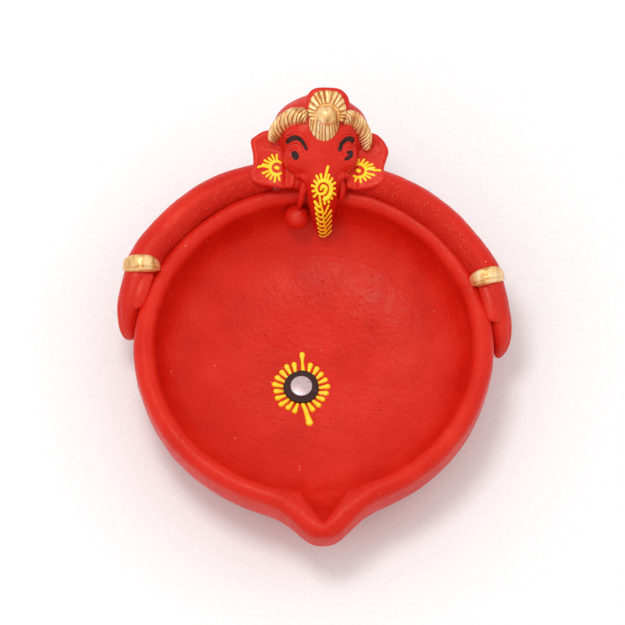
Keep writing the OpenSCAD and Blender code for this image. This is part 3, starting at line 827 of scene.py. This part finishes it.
def make_ear(side, word):
    outline = smooth_rows(EAR_OUTLINES[side] + EAR_OUTLINES[side][:1], 90)[:-1]
    low = (outline[:, 0].min() - 2, -3.5, outline[:, 1].min() - 2)
    high = (outline[:, 0].max() + 2, 6.5, outline[:, 1].max() + 2)
    block = Clay(low, high, 0.22)
    _, x, y, z = block.window()
    flat = polygon_distance(x[:, :, 0], z[:, 0, :], outline)[:, None, :]
    out = np.abs(x)
    dish = 0.9 * np.exp(-(((out - 17.5) / 4.6) ** 2 + ((z - 8.0) / 5.5) ** 2))
    rim = -0.25 * np.exp(-((flat + 1.4) / 1.3) ** 2) * ease((out - 13) / 5)
    fold = 0.5 * np.exp(-((z - 15.2 - 0.22 * (out - 18)) / 1.1) ** 2) * ease((24 - out) / 4)
    crease = 0.9 * np.exp(-((out - 12.4) / 1.2) ** 2)
    face = dish + rim + fold + crease
    depth = np.maximum(-(y - face), y - EAR_T)
    block.d = plate(flat, depth, 1.15).astype(np.float32)
    shifted_noise(block, 5.0, 0.14, 31 + side)
    points, faces = block.mesh()
    points = head_to_world(lean_back(points, EAR_LEAN, EAR_FOOT))
    make_piece("ear_shell_" + word, points, faces, RED_FIGURE, ["ear_" + word])
    return BVHTree.FromPolygons(points.tolist(), faces.tolist())


ear_trees = {side: make_ear(side, word) for side, word in SIDES}

# ---------------------------------------------------------------- tusks and sweet

TUSKS = {
    LEFT: [[-2.6, 61.5, 43.6, 1.5], [-3.4, 58.8, 41.4, 1.45], [-4.3, 56.6, 38, 1.3],
           [-5.0, 55, 34.4, 0.95], [-5.3, 54.5, 33.0, 0.6]],
    RIGHT: [[9.6, 61.5, 43.4, 1.4], [10.4, 59, 41, 1.3], [10.3, 57.2, 38.6, 1.25],
            [10.1, 56.4, 37.2, 1.15]],
}


def make_tusk(side, word):
    rows = smooth_rows(TUSKS[side], 14)
    block = Clay(rows[:, :3].min(0) - 2.5, rows[:, :3].max(0) + 2.5, 0.16)
    for a, b in zip(rows[:-1], rows[1:]):
        block.cone(a[:3], b[:3], a[3], b[3], 0.1, 2.0)
    shifted_noise(block, 2.2, 0.07, 41 + side)
    points, faces = block.mesh()
    make_piece("tusk_clay_" + word, points, faces, RED_FIGURE, ["tusk_" + word])


make_tusk(LEFT, "left")
make_tusk(RIGHT, "right")


def make_sweet():
    low, high = node_box("sweet_ball")
    radius = (high[2] - low[2]) / 2
    mid = np.array([low[0] + radius, low[1] + radius, (low[2] + high[2]) / 2])
    block = Clay(mid - radius - 1.5, mid + radius + 1.5, 0.2)
    block.ball(mid, (radius * 0.98, radius, radius * 0.98))
    block.cone(mid + (radius * 0.9, -1.5, 0.5), mid + (radius * 1.1, -2.5, 1.5), 0.7, 0.7, 0.5,
               carve=True)
    shifted_noise(block, 4.0, 0.18, 45)
    points, faces = block.mesh()
    make_piece("sweet_modelled", points, faces, RED_FIGURE, ["sweet_ball"])


make_sweet()

# ---------------------------------------------------------------- crown

CROWN = np.array([2.4, -10.4, 12.4])
CREST_LEAN = math.radians(18)


def crown_to_world(points):
    return head_to_world(lean_back(points, CREST_LEAN, CROWN))


def make_crest():
    block = Clay((-10, -1, -9), (10, 8, 12), 0.22)
    _, x, y, z = block.window()
    rise = smooth_rows([(-8.0, -6), (-8.3, 0), (-8.2, 4.2), (-7.2, 7.6), (-4.6, 10.0), (0, 10.5),
                        (4.6, 10.0), (7.3, 7.4), (8.2, 4.0), (8.3, 0), (8.0, -6), (-8.0, -6)], 80)[:-1]
    flat = polygon_distance(x[:, :, 0], z[:, 0, :], rise)[:, None, :]
    depth = np.maximum(2.0 - y, y - 5.4)
    block.d = plate(flat, depth, 1.3).astype(np.float32)
    shifted_noise(block, 4.0, 0.16, 51)
    points, faces = block.mesh()
    make_piece("crest_plate", crown_to_world(points), faces, RED_FIGURE,
               ["crown_crest"])


def flutes(phase, seed, wander=0.18):
    """Rounded ridges with sharp grooves between: 0 on a ridge, 1 in a groove."""
    uneven = phase + wander * np.sin(1.7 * phase + seed)
    wave = np.abs(np.sin(math.pi * uneven))
    return 1 - np.sqrt(wave)


def make_fan_upper():
    block = Clay((-10.5, -3.5, -6), (10.5, 5, 11), 0.14)
    _, x, y, z = block.window()
    reach = np.hypot(x, z)
    turn = np.arctan2(x, z)
    groove = flutes(turn * 12 / math.pi + 0.3, 2.0)
    corner = 0.5 * np.exp(-((np.abs(turn) - 0.5) / 0.25) ** 2)
    edge = 7.0 + 2.0 * np.cos(turn) + 0.4 * np.cos(2 * turn) + corner - 0.45 * groove
    spread = (np.abs(turn) - math.radians(112)) * reach
    flat = np.maximum(reach - edge, spread)
    lean = 0.3 + 0.17 * np.maximum(z, 0)
    swell = 1.0 * np.exp(-((reach - 5.2) / 3.6) ** 2)
    ditch = 0.7 * np.exp(-((reach - 4.2) / 0.5) ** 2)
    front = lean - 1.25 - 0.5 * swell + ditch + 0.80 * groove * ease((reach - 4.0) / 1.5)
    depth = np.maximum(front - y, y - lean - 2.2)
    block.d = plate(flat, depth, 0.55).astype(np.float32)
    shifted_noise(block, 1.6, 0.07, 52)
    points, faces = block.mesh()
    low = flutes(np.arctan2(points[:, 0], points[:, 2]) * 12 / math.pi + 0.3, 2.0)
    low = np.clip(1.1 * low, 0, 1) * ease((np.hypot(points[:, 0], points[:, 2]) - 3.8) / 1.5)
    make_piece("fan_upper_fluted", crown_to_world(points), faces, GOLD_PAINT,
               ["crown_fan_upper"], {"groove": low})


FAN_LOWER_X = -1.1


def make_fan_lower():
    block = Clay((-7.5, -14.5, 1.5), (9.5, -7, 13.5), 0.14)
    _, x, y, z = block.window()
    u = x - CROWN[0] - FAN_LOWER_X
    top = CROWN[2] - 1.0
    fan = u / (1 + 0.035 * (top - z) - 0.12)
    groove = flutes(fan * 0.86 + 0.5, 0.7)
    drop = 8.3 * np.sqrt(np.clip(1 - (u / 5.7) ** 2, 0, 1)) - 0.3 * groove
    side = np.abs(u) - 5.5
    flat = np.maximum(np.maximum((top - z) - drop, side) * 0.8, z - top - 0.8)
    bulge = 0.7 * np.exp(-(u / 4.2) ** 2)
    lie = -11.9 - bulge + 0.045 * (z - 8) ** 2 * 0.4
    front = lie + 0.65 * groove
    depth = np.maximum(front - y, y + 8.5)
    block.d = plate(flat, depth, 0.5).astype(np.float32)
    shifted_noise(block, 1.6, 0.06, 53)
    points, faces = block.mesh()
    u = points[:, 0] - CROWN[0] - FAN_LOWER_X
    low = flutes(u / (1 + 0.035 * (top - points[:, 2]) - 0.12) * 0.86 + 0.5, 0.7)
    make_piece("fan_lower_fluted", head_to_world(points), faces, GOLD_PAINT,
               ["crown_fan_lower"], {"groove": np.clip(1.1 * low, 0, 1)})


def make_boss():
    block = Clay((-5.5, -4.5, -5.5), (5.5, 3.5, 5.5), 0.16)
    block.ball((-0.2, 0.6, 0.1), (4.3, 3.7, 4.1))
    shifted_noise(block, 3.2, 0.16, 54)
    shifted_noise(block, 1.2, 0.05, 55)
    points, faces = block.mesh()
    spot = 0.85 * np.exp(-((points[:, 0] + 0.1) ** 2 + (points[:, 2] - 1.9) ** 2) / 0.12)
    ring = 0.62 * ease((np.hypot(points[:, 0], points[:, 2]) - 3.9) / 0.4)
    make_piece("boss_pressed", crown_to_world(points), faces, GOLD_PAINT,
               ["crown_boss"], {"groove": np.maximum(spot, ring)})


make_crest()
make_fan_upper()
make_fan_lower()
make_boss()

# ---------------------------------------------------------------- headbands

BANDS = {
    LEFT: [[-4.6, -8.8, 11.4, 2.4, 2.4], [-7.2, -7.6, 11.6, 3.2, 3.2], [-10.6, -6, 10.4, 3.4, 3.4],
           [-14.4, -3.8, 6.8, 3.1, 3.1], [-16.6, -2.8, 3.4, 2.6, 2.6], [-17.4, -2.4, 0.6, 1.8, 1.8]],
    RIGHT: [[8.0, -8.8, 11.0, 2.6, 2.6], [10.0, -7.4, 10.8, 3.1, 3.1], [12.7, -5.6, 8.8, 3.2, 3.2],
            [15.4, -3.8, 4.6, 2.9, 2.9], [16.5, -3.2, 1.0, 2.4, 2.4], [16.8, -3.0, -2.4, 1.5, 1.5]],
}
BAND_TURNS = 12
BAND_PITCH = 1.65
BAND_RINGS = 300
BAND_SIDES = 72
BAND_TWIST = {LEFT: -5, RIGHT: 5}


def strands(t, turn, side):
    """1 in the groove between two strands of a band, 0 on a strand."""
    uneven = t + 0.010 * np.sin(15 * t + side) + 0.006 * np.sin(31 * t)
    phase = uneven * BAND_TURNS + BAND_TWIST[side] * turn / (2 * math.pi)
    from_groove = np.abs(phase - np.round(phase)) * BAND_PITCH
    return np.exp(-(from_groove / 0.24) ** 2)


def make_band(side, word):
    def relief(t, turn, points):
        lumps = 0.10 * noise(points, 2.0, 61 + side)
        ends = ease(t / 0.05) * ease((1 - t) / 0.05)
        return lumps - 0.05 - 0.50 * strands(t, turn, side) * ends
    points, faces = roll(BANDS[side], (0, 1, 0), BAND_RINGS, BAND_SIDES, relief)
    t = np.linspace(0, 1, BAND_RINGS)[:, None]
    turn = np.linspace(0, 2 * math.pi, BAND_SIDES, endpoint=False)[None, :]
    low = np.concatenate([strands(t, turn, side).reshape(-1), [0, 0]])
    make_piece("headband_twist_" + word, head_to_world(points), faces, GOLD_PAINT,
               ["headband_" + word], {"groove": np.clip(1.1 * low, 0, 1)})


for side, word in SIDES:
    make_band(side, word)

# ---------------------------------------------------------------- arms and hands

ARMS = {
    LEFT: [[76, 67.8, 36.4, 5, 6], [62, 68.5, 36.2, 5.7, 6.5], [48, 68.9, 36, 5.9, 6.6],
           [36, 69.2, 35.4, 5.9, 6.4], [27, 69.3, 34.6, 5.9, 6.2], [24, 69.2, 33.7, 5.4, 5.9]],
    RIGHT: [[76, 67, 36.4, 5, 6], [62, 66.8, 36.2, 5.4, 6.4], [48, 67, 36, 5.6, 6.5],
            [34, 67.4, 35.2, 5.5, 6.2], [24, 68.2, 34, 5.4, 6], [20, 68.3, 33, 5, 5.6]],
}
HANDS = {
    LEFT: [[27, 69.4, 34.6, 4.6, 5.2], [23, 69.4, 33.8, 4.8, 5.2], [18.5, 69.1, 31.6, 4.8, 5.6],
           [14, 68.8, 28.6, 4.7, 5.8], [10, 68.2, 24.6, 3.9, 4.9], [7.6, 67.5, 21.4, 3.0, 3.5],
           [6.7, 67.1, 19.9, 1.8, 1.8]],
    RIGHT: [[23, 68.3, 34.2, 4.6, 5.2], [19, 68.6, 33, 4.5, 5], [14, 68.6, 30.4, 4.4, 5.4],
            [9, 68.4, 26.8, 4.4, 5.6], [4.6, 68.3, 22, 3.6, 4.6], [2.2, 67.6, 18.8, 2.2, 2.9],
            [1.3, 67.2, 17.2, 0.9, 1.1]],
}
THUMBS = {
    LEFT: [[23.5, 66.3, 35.6, 3.0, 2.0], [19, 66.2, 34.8, 3.4, 2.4], [15.4, 65.9, 33.8, 3.2, 2.3],
           [13, 65.5, 33.0, 2.3, 1.7], [12.2, 65.3, 32.5, 1.2, 0.9]],
    RIGHT: [[20, 66.3, 35.2, 3.0, 2.0], [16, 66.3, 34.6, 3.3, 2.4], [12, 66.1, 33.6, 3.2, 2.4],
            [8.6, 65.9, 32.6, 2.9, 2.0], [7.6, 65.7, 32.1, 1.9, 1.3]],
}
BANGLES = {
    LEFT: [[-62.6, 29.6, 34.9, 6.9, 7.2], [0, 1, 0.24]],
    RIGHT: [[63.0, 25.0, 34.2, 6.5, 7.1], [-0.24, 0.97, 0.26]],
}
BANGLE_HALF = {LEFT: (1.6, 3.2), RIGHT: (1.7, 3.1)}


def arm_relief(side):
    def relief(t, turn, points):
        lumps = 0.26 * noise(points, 9, 71 + side) + 0.10 * noise(points, 3.2, 73 + side)
        grit = 0.10 * noise(points, 1.1, 75 + side)
        return lumps + grit * rim_side(points)
    return relief


def rim_side(points):
    """1 on the side of an arm that faces the rim, 0 on the other side."""
    radius = np.hypot(points[..., 0], points[..., 1])
    return ease((68.5 - radius) / 2.5)


def make_arm(side, word):
    rows = round_bowl(ARMS[side], side)
    points, faces = roll(rows, (0, 0, 1), 230, 72, arm_relief(side))
    make_piece("arm_rolled_" + word, points, faces, RED_ARM, ["arm_" + word],
               {"porous_and_painted_light": rim_side(points)})


def hand_relief(side):
    def relief(t, turn, points):
        soft = 0.16 * noise(points, 6, 81 + side)
        face = ease(-side * np.cos(turn) * 1.4)
        across = np.sin(turn)
        cuts = 0
        for place in (-0.3, 0.25, 0.72):
            cuts = cuts + np.exp(-((across - place) / 0.085) ** 2)
        return soft - 0.45 * cuts * face * ease((t - 0.38) / 0.15) * ease((0.97 - t) / 0.1)
    return relief


def make_hand(side, word):
    rows = round_bowl(HANDS[side], side)
    points, faces = roll(rows, (0, 0, 1), 110, 72, hand_relief(side))
    make_piece("hand_leaf_" + word, points, faces, RED_FIGURE, ["hand_" + word])
    rows = round_bowl(THUMBS[side], side)
    points, faces = roll(rows, (0, 0, 1), 60, 40,
                         lambda t, turn, p: 0.10 * noise(p, 4, 85 + side))
    make_piece("thumb_pad_" + word, points, faces, RED_FIGURE, ["thumb_" + word])


def make_bangle(side, word):
    """A band over the wrist, broad on top and narrower down its sides, with a rolled edge."""
    (x, y, z, half_w, half_h), along = BANGLES[side]
    along = unit(along)
    across = unit(np.cross(along, (0, 0, 1)))
    up = np.cross(across, along)
    narrow, broad = BANGLE_HALF[side]
    rings, sides = 60, 110
    t = np.linspace(-1, 1, rings)[:, None]
    turn = np.linspace(0, 2 * math.pi, sides, endpoint=False)[None, :]
    half = narrow + (broad - narrow) * ease(np.sin(turn) * 0.8 + 0.2)
    round_off = np.sqrt(np.clip(1 - np.abs(t) ** 5, 0, 1))
    lip = 0.30 * np.exp(-((t + 0.72) / 0.14) ** 2) - 0.22 * np.exp(-((t + 0.46) / 0.1) ** 2)
    grow = 0.82 + 0.18 * round_off + 0 * turn
    middle = np.array([x, y, z])
    points = middle + along * (t * half)[..., None] \
        + across * (np.cos(turn) * half_w * grow)[..., None] \
        + up * (np.sin(turn) * half_h * grow)[..., None]
    out = unit(across * (np.cos(turn) * half_h)[..., None] + up * (np.sin(turn) * half_w)[..., None])
    lumps = 0.22 * noise(points, 4, 91 + side) + 0.07 * noise(points, 1.6, 93 + side)
    points = points + out * (lumps + lip * round_off - 0.15)[..., None]
    points, faces = closed_tube(points, middle - along, middle + along)
    # Worn paint in the groove behind the rolled edge, which is also painted darker there as painted
    # shade.
    worn_and_painted_shade = 0.5 * np.exp(-((t + 0.46) / 0.08) ** 2) + 0 * turn
    worn_and_painted_shade = np.concatenate([worn_and_painted_shade.reshape(-1), [0, 0]])
    make_piece("bangle_band_" + word, points, faces, GOLD_PAINT,
               ["bangle_" + word], {"groove": worn_and_painted_shade})


for side, word in SIDES:
    make_arm(side, word)
    make_hand(side, word)
    make_bangle(side, word)


WRIST_DROP = np.array([(61.2, 21.6, 36.9), (62.6, 22.2, 36.9)])
WRIST_DROP_R = 0.8


def make_wrist_drop():
    """A small soft blob of yellow paint beside the right bangle."""
    reach = WRIST_DROP_R + 1.5
    block = Clay(WRIST_DROP.min(0) - reach, WRIST_DROP.max(0) + reach, 0.13)
    block.cone(*WRIST_DROP, WRIST_DROP_R, WRIST_DROP_R * 0.85)
    shifted_noise(block, 1.7, 0.12, 102)
    points, faces = block.mesh()
    make_piece("wrist_yellow_drop", points, faces, YELLOW_PAINT)


make_wrist_drop()

# ---------------------------------------------------------------- mirror and its bed

def make_mirror():
    low, top = mirror_low, mirror_high[2]
    profile = [(MIRROR_R - 0.35, top), (MIRROR_R - 0.12, top - 0.06), (MIRROR_R, top - 0.2),
               (MIRROR_R, low[2])]
    turn = np.linspace(0, 2 * math.pi, 96, endpoint=False)
    rings = np.stack([np.stack([mirror_mid[0] + radius * np.cos(turn),
                                mirror_mid[1] + radius * np.sin(turn),
                                np.full(len(turn), height)], -1) for radius, height in profile])
    points, faces = closed_tube(rings, (*mirror_mid[:2], top), (*mirror_mid[:2], low[2]))
    make_piece("mirror_round", points, faces, MIRROR, ["mirror_disc"])


def make_bed():
    low, high = node_box("mirror_bed")
    mid = (low + high) / 2
    radius = (high[0] - low[0]) / 2
    block = Clay(low - 1.2, high + 1.2, 0.12)
    _, x, y, z = block.window()
    reach = np.hypot(x - mid[0], y - mid[1])
    turn = np.arctan2(y - mid[1], x - mid[0])
    uneven = 0.16 * np.sin(3 * turn + 1) + 0.10 * np.sin(7 * turn) + 0.06 * np.sin(13 * turn + 2)
    flat = np.maximum(reach - (radius - 0.1) + uneven * 0.6, MIRROR_R - 0.25 - reach)
    depth = np.maximum(z - high[2] - 0.12, low[2] - 0.25 - z)
    block.d = (plate(flat, depth, 0.5) + 0 * z).astype(np.float32)
    shifted_noise(block, 1.6, 0.08, 95)
    points, faces = block.mesh()
    make_piece("mirror_bed_painted", points, faces, DARK_PAINT, ["mirror_bed"])


make_mirror()
make_bed()

# ---------------------------------------------------------------- yellow cone-drawn lines

VIEW_TILT = math.radians(65)
VIEW_UP = np.array([0, math.sin(VIEW_TILT), math.cos(VIEW_TILT)])
VIEW_IN = np.array([0, math.cos(VIEW_TILT), -math.sin(VIEW_TILT)])
CAMERA_GAP = 1500.0
RIM_MID = np.array([0, 0, BOWL_H])
EYE = RIM_MID - CAMERA_GAP * VIEW_IN
LINE_POINT_GAP = 0.35
LINE_JUMP = 2.5


def drop_on(tree, across, up):
    """The point of a surface that lies behind a place on a slanting plane through the rim."""
    place = RIM_MID + (across, 0, 0) + up * VIEW_UP
    hit = tree.ray_cast(Vector(EYE), Vector(unit(place - EYE)))
    return np.array(hit[0]) if hit[0] is not None else None


def line_clay(laid, step, pad, blend, reach):
    """Clay along laid lines of points and half widths, open where a line jumps."""
    every = np.array([p for line in laid for p, _ in line])
    block = Clay(every.min(0) - pad, every.max(0) + pad, step)
    for line in laid:
        for (a, ra), (b, rb) in zip(line[:-1], line[1:]):
            if np.linalg.norm(b - a) < LINE_JUMP:
                block.cone(a, b, ra, rb, blend, reach)
    return block


def draw_lines(name, strokes, tree, thin=None):
    """Raised paint lines: each stroke is points of across, up and half width in mm."""
    laid = []
    for stroke in strokes:
        stroke = np.asarray(stroke, float)
        length = np.linalg.norm(np.diff(stroke[:, :2], axis=0), axis=1).sum()
        rows = smooth_rows(stroke, max(int(length / LINE_POINT_GAP), 3))
        spots = [drop_on(tree, a, u) for a, u, _ in rows]
        laid.append([(p, r) for p, (_, _, r) in zip(spots, rows) if p is not None])
    points, faces = line_clay(laid, 0.12, 1.6, 0.12, 0.5).mesh()
    faded = np.zeros(len(points)) if thin is None else thin(points)
    return make_piece(name, points, faces, YELLOW_PAINT, (), {"thin": faded})


def petal(angle, inner, outer, slim, fat, bend=0.0):
    """A drop pointing at the middle: thin inside, fat and round outside."""
    rows = []
    for share in (0, 0.35, 0.75, 1.0):
        turn = math.radians(angle + bend * (1 - share))
        reach = inner + (outer - inner) * share
        width = slim + (fat - slim) * share ** 1.5
        rows.append((reach * math.cos(turn), reach * math.sin(turn), width))
    return rows


def make_floor_motif():
    """Drops round the mirror, with one long drop towards the head and one to the spout."""
    tree = BVHTree.FromPolygons([tuple(v.co / MM) for v in bowl_piece.data.vertices],
                                [tuple(p.vertices) for p in bowl_piece.data.polygons])
    mid = mirror_mid[:2]
    strokes = []
    for k in range(10):
        angle = 106 + k * 16.6
        strokes.append(petal(angle, 6.4, 9.7 + 0.35 * math.sin(2.1 * k), 0.50, 1.02, 3))
    for k in range(9):
        angle = 70 - k * 16.8
        strokes.append(petal(angle, 6.5, 9.4 + 0.3 * math.sin(1.7 * k + 1), 0.50, 1.0, -3))
    strokes.append([(0.6, 6.6, 0.85), (0.45, 9.4, 0.55), (0.3, 12.0, 0.8), (0.3, 13.2, 1.1)])
    strokes.append([(0.6, -6.6, 0.75), (1.6, -9.2, 0.85), (2.5, -12.2, 1.05), (3.0, -14.0, 1.35)])
    laid = []
    for stroke in strokes:
        rows = smooth_rows(stroke, 14)
        spots = []
        for a, b, r in rows:
            hit = tree.ray_cast(Vector((mid[0] + a, mid[1] + b, 25)), Vector((0, 0, -1)))
            spots.append((np.array(hit[0]) - (0, 0, 0.16 * r), r))
        laid.append(spots)
    block = line_clay(laid, 0.13, 1.5, 0.1, 0.4)
    _, x, y, z = block.window()
    block.d = np.maximum(block.d, z - (FLOOR_Z + 0.75)).astype(np.float32)
    shifted_noise(block, 2.2, 0.04, 97)
    points, faces = block.mesh()
    make_piece("floor_motif_yellow", points, faces, YELLOW_PAINT, (),
               {"thin": np.zeros(len(points))})


make_floor_motif()


def around(centre, turn, across, up):
    """A place on an oval round a centre, at an angle in degrees."""
    angle = math.radians(turn)
    return centre[0] + across * math.cos(angle), centre[1] + up * math.sin(angle)


EAR_MOTIFS = {
    LEFT: {"centre": (-13.2, 62.1), "wide": 5.2, "tall": 4.7, "ring": (2.35, 2.35),
           "wave": [(-2.4, 0.0), (-3.6, 0.35), (-5.2, 0.65), (-6.8, 0.3)]},
    RIGHT: {"centre": (16.1, 61.1), "wide": 5.9, "tall": 4.0, "ring": (2.7, 2.35),
            "wave": [(2.9, 0.4), (4.4, 0.55), (5.8, 0.2), (7.9, 0.1)]},
}


def make_ear_motif(side, word):
    """A dot in an open ring with rays, one of them long and wavy."""
    motif = EAR_MOTIFS[side]
    centre = motif["centre"]
    mirrored = 1 if side == RIGHT else -1
    strokes = [[(centre[0] - 0.35, centre[1] + 0.15, 0.72), (centre[0] + 0.35, centre[1] - 0.1, 0.72)]]
    ring = [around(centre, turn, mirrored * motif["ring"][0], motif["ring"][1]) + (0.50,)
            for turn in range(-128, 129, 16)]
    ring[0], ring[-1] = ring[0][:2] + (0.42,), ring[-1][:2] + (0.38,)
    strokes.append(ring)
    for k in range(11):
        turn = 92 - 18 * k - 0.1 * k * k
        if k == 5:
            continue
        longer = 1 + 0.06 * math.sin(2.3 * k)
        inner = around(centre, turn, mirrored * motif["ring"][0], motif["ring"][1])
        outer = around(centre, turn - 3, mirrored * motif["wide"] * longer, motif["tall"] * longer)
        strokes.append([inner + (0.38,), outer + (0.46,)])
    strokes.append([(centre[0] + a, centre[1] + u, 0.44) for a, u in motif["wave"]])
    draw_lines("ear_motif_" + word, strokes, ear_trees[side])


for side, word in SIDES:
    make_ear_motif(side, word)

SUN = (3.66, 54.7)
SWIRL = [(-1.1, -0.45, 0.42), (-0.35, 0.8, 0.74), (0.75, 0.2, 0.72), (0.15, -1.65, 0.60),
         (-1.85, -1.85, 0.50), (-2.7, 0.1, 0.56), (-1.6, 2.3, 0.58), (0.5, 2.8, 0.66),
         (2.35, 1.4, 0.78), (2.5, -1.2, 0.86), (1.5, -3.1, 0.86), (0.2, -3.9, 0.70)]
STEM = [(-1.5, -2.6, 0.40), (-1.15, -5.4, 0.40), (-0.4, -8.5, 0.40), (-0.1, -11.1, 0.42),
        (0.4, -13.7, 0.42), (0.8, -16.2, 0.38)]
FADE_Z = 19.5


def make_trunk_motif():
    """A swirling sun at the top of the trunk and a fern below it."""
    strokes = [[(SUN[0] + a, SUN[1] + u, r) for a, u, r in line] for line in (SWIRL, STEM)]
    for k in range(15):
        turn = -85 + 21.2 * k
        longer = 1 + 0.05 * math.sin(2.7 * k)
        inner = around(SUN, turn, 2.6, 3.0)
        outer = around(SUN, turn, 4.1 * longer, 5.5 * longer)
        if k == 8:
            outer = (SUN[0] + 1.5, SUN[1] + 7.9)
        strokes.append([inner + (0.40,), outer + (0.50,)])
    for k in range(8):
        slim = 0.62 - 0.03 * k
        root = (SUN[0] - 1.1 + 0.3 * k, SUN[1] - 6.7 - 2.0 * k + 0.075 * k * k, 0.38)
        tip = (SUN[0] - 3.1 + 0.24 * k, SUN[1] - 4.8 - 2.2 * k + 0.065 * k * k, slim)
        bend = ((root[0] + tip[0]) / 2 - 0.1, (root[1] + tip[1]) / 2 - 0.45, slim)
        strokes.append([root, bend, tip])
    for k in range(6):
        root = (SUN[0] + 0.3 + 0.18 * k, SUN[1] - 9.3 - 1.55 * k, 0.32)
        tip = (SUN[0] + 1.7 + 0.9 * min(k, 1), SUN[1] - 6.2 - 1.8 * k, 0.42)
        strokes.append([root, tip])
    draw_lines("trunk_motif", strokes, head_tree,
               thin=lambda p: 0.7 * ease((FADE_Z - p[:, 2]) / 5.0))


make_trunk_motif()

# ---------------------------------------------------------------- floor, lights, camera

def make_stage():
    mesh = bpy.data.meshes.new("floor_sheet")
    build = bmesh.new()
    bmesh.ops.create_grid(build, x_segments=24, y_segments=24, size=2.5)
    build.to_mesh(mesh)
    build.free()
    floor = bpy.data.objects.new("floor_sheet", mesh)
    mesh.materials.append(floor_paper("floor_paper"))
    bpy.context.scene.collection.objects.link(floor)


def add_light(name, place, aim, size, power):
    """A white sheet of light that faces a place."""
    data = bpy.data.lights.new(name, "AREA")
    data.shape = "RECTANGLE"
    data.size, data.size_y = size
    data.energy = power
    light = bpy.data.objects.new(name, data)
    light.location = place
    light.rotation_euler = (Vector(aim) - Vector(place)).to_track_quat("-Z", "Y").to_euler()
    bpy.context.scene.collection.objects.link(light)


make_stage()
add_light("key_overhead", (-0.13, 0.05, 0.78), (0, 0.0, 0.03), (0.20, 0.20), 1.9)
add_light("fill_front_left", (-0.7, -0.6, 0.8), (0, 0, 0.02), (0.7, 0.7), 0.7)
add_light("fill_right", (0.8, 0.2, 0.7), (0, 0, 0.02), (0.6, 0.6), 0.5)
world = bpy.data.worlds.new("studio_air")
world.use_nodes = True
world.node_tree.nodes["Background"].inputs["Color"].default_value = (1, 1, 1, 1)
world.node_tree.nodes["Background"].inputs["Strength"].default_value = 0.86
bpy.context.scene.world = world
bpy.context.scene.view_settings.view_transform = "Standard"

FIELD = 225.5
AIM = RIM_MID + (-0.41, 0, 0) + 10.06 * VIEW_UP


def make_camera():
    data = bpy.data.cameras.new("photo_camera")
    data.sensor_width = 36.0
    data.lens = 36.0 * CAMERA_GAP / FIELD
    data.clip_end = 20
    camera = bpy.data.objects.new("photo_camera", data)
    place = (AIM - CAMERA_GAP * VIEW_IN) * MM
    camera.location = place
    camera.rotation_euler = Vector(VIEW_IN).to_track_quat("-Z", "Y").to_euler()
    bpy.context.scene.collection.objects.link(camera)
    bpy.context.scene.camera = camera


make_camera()
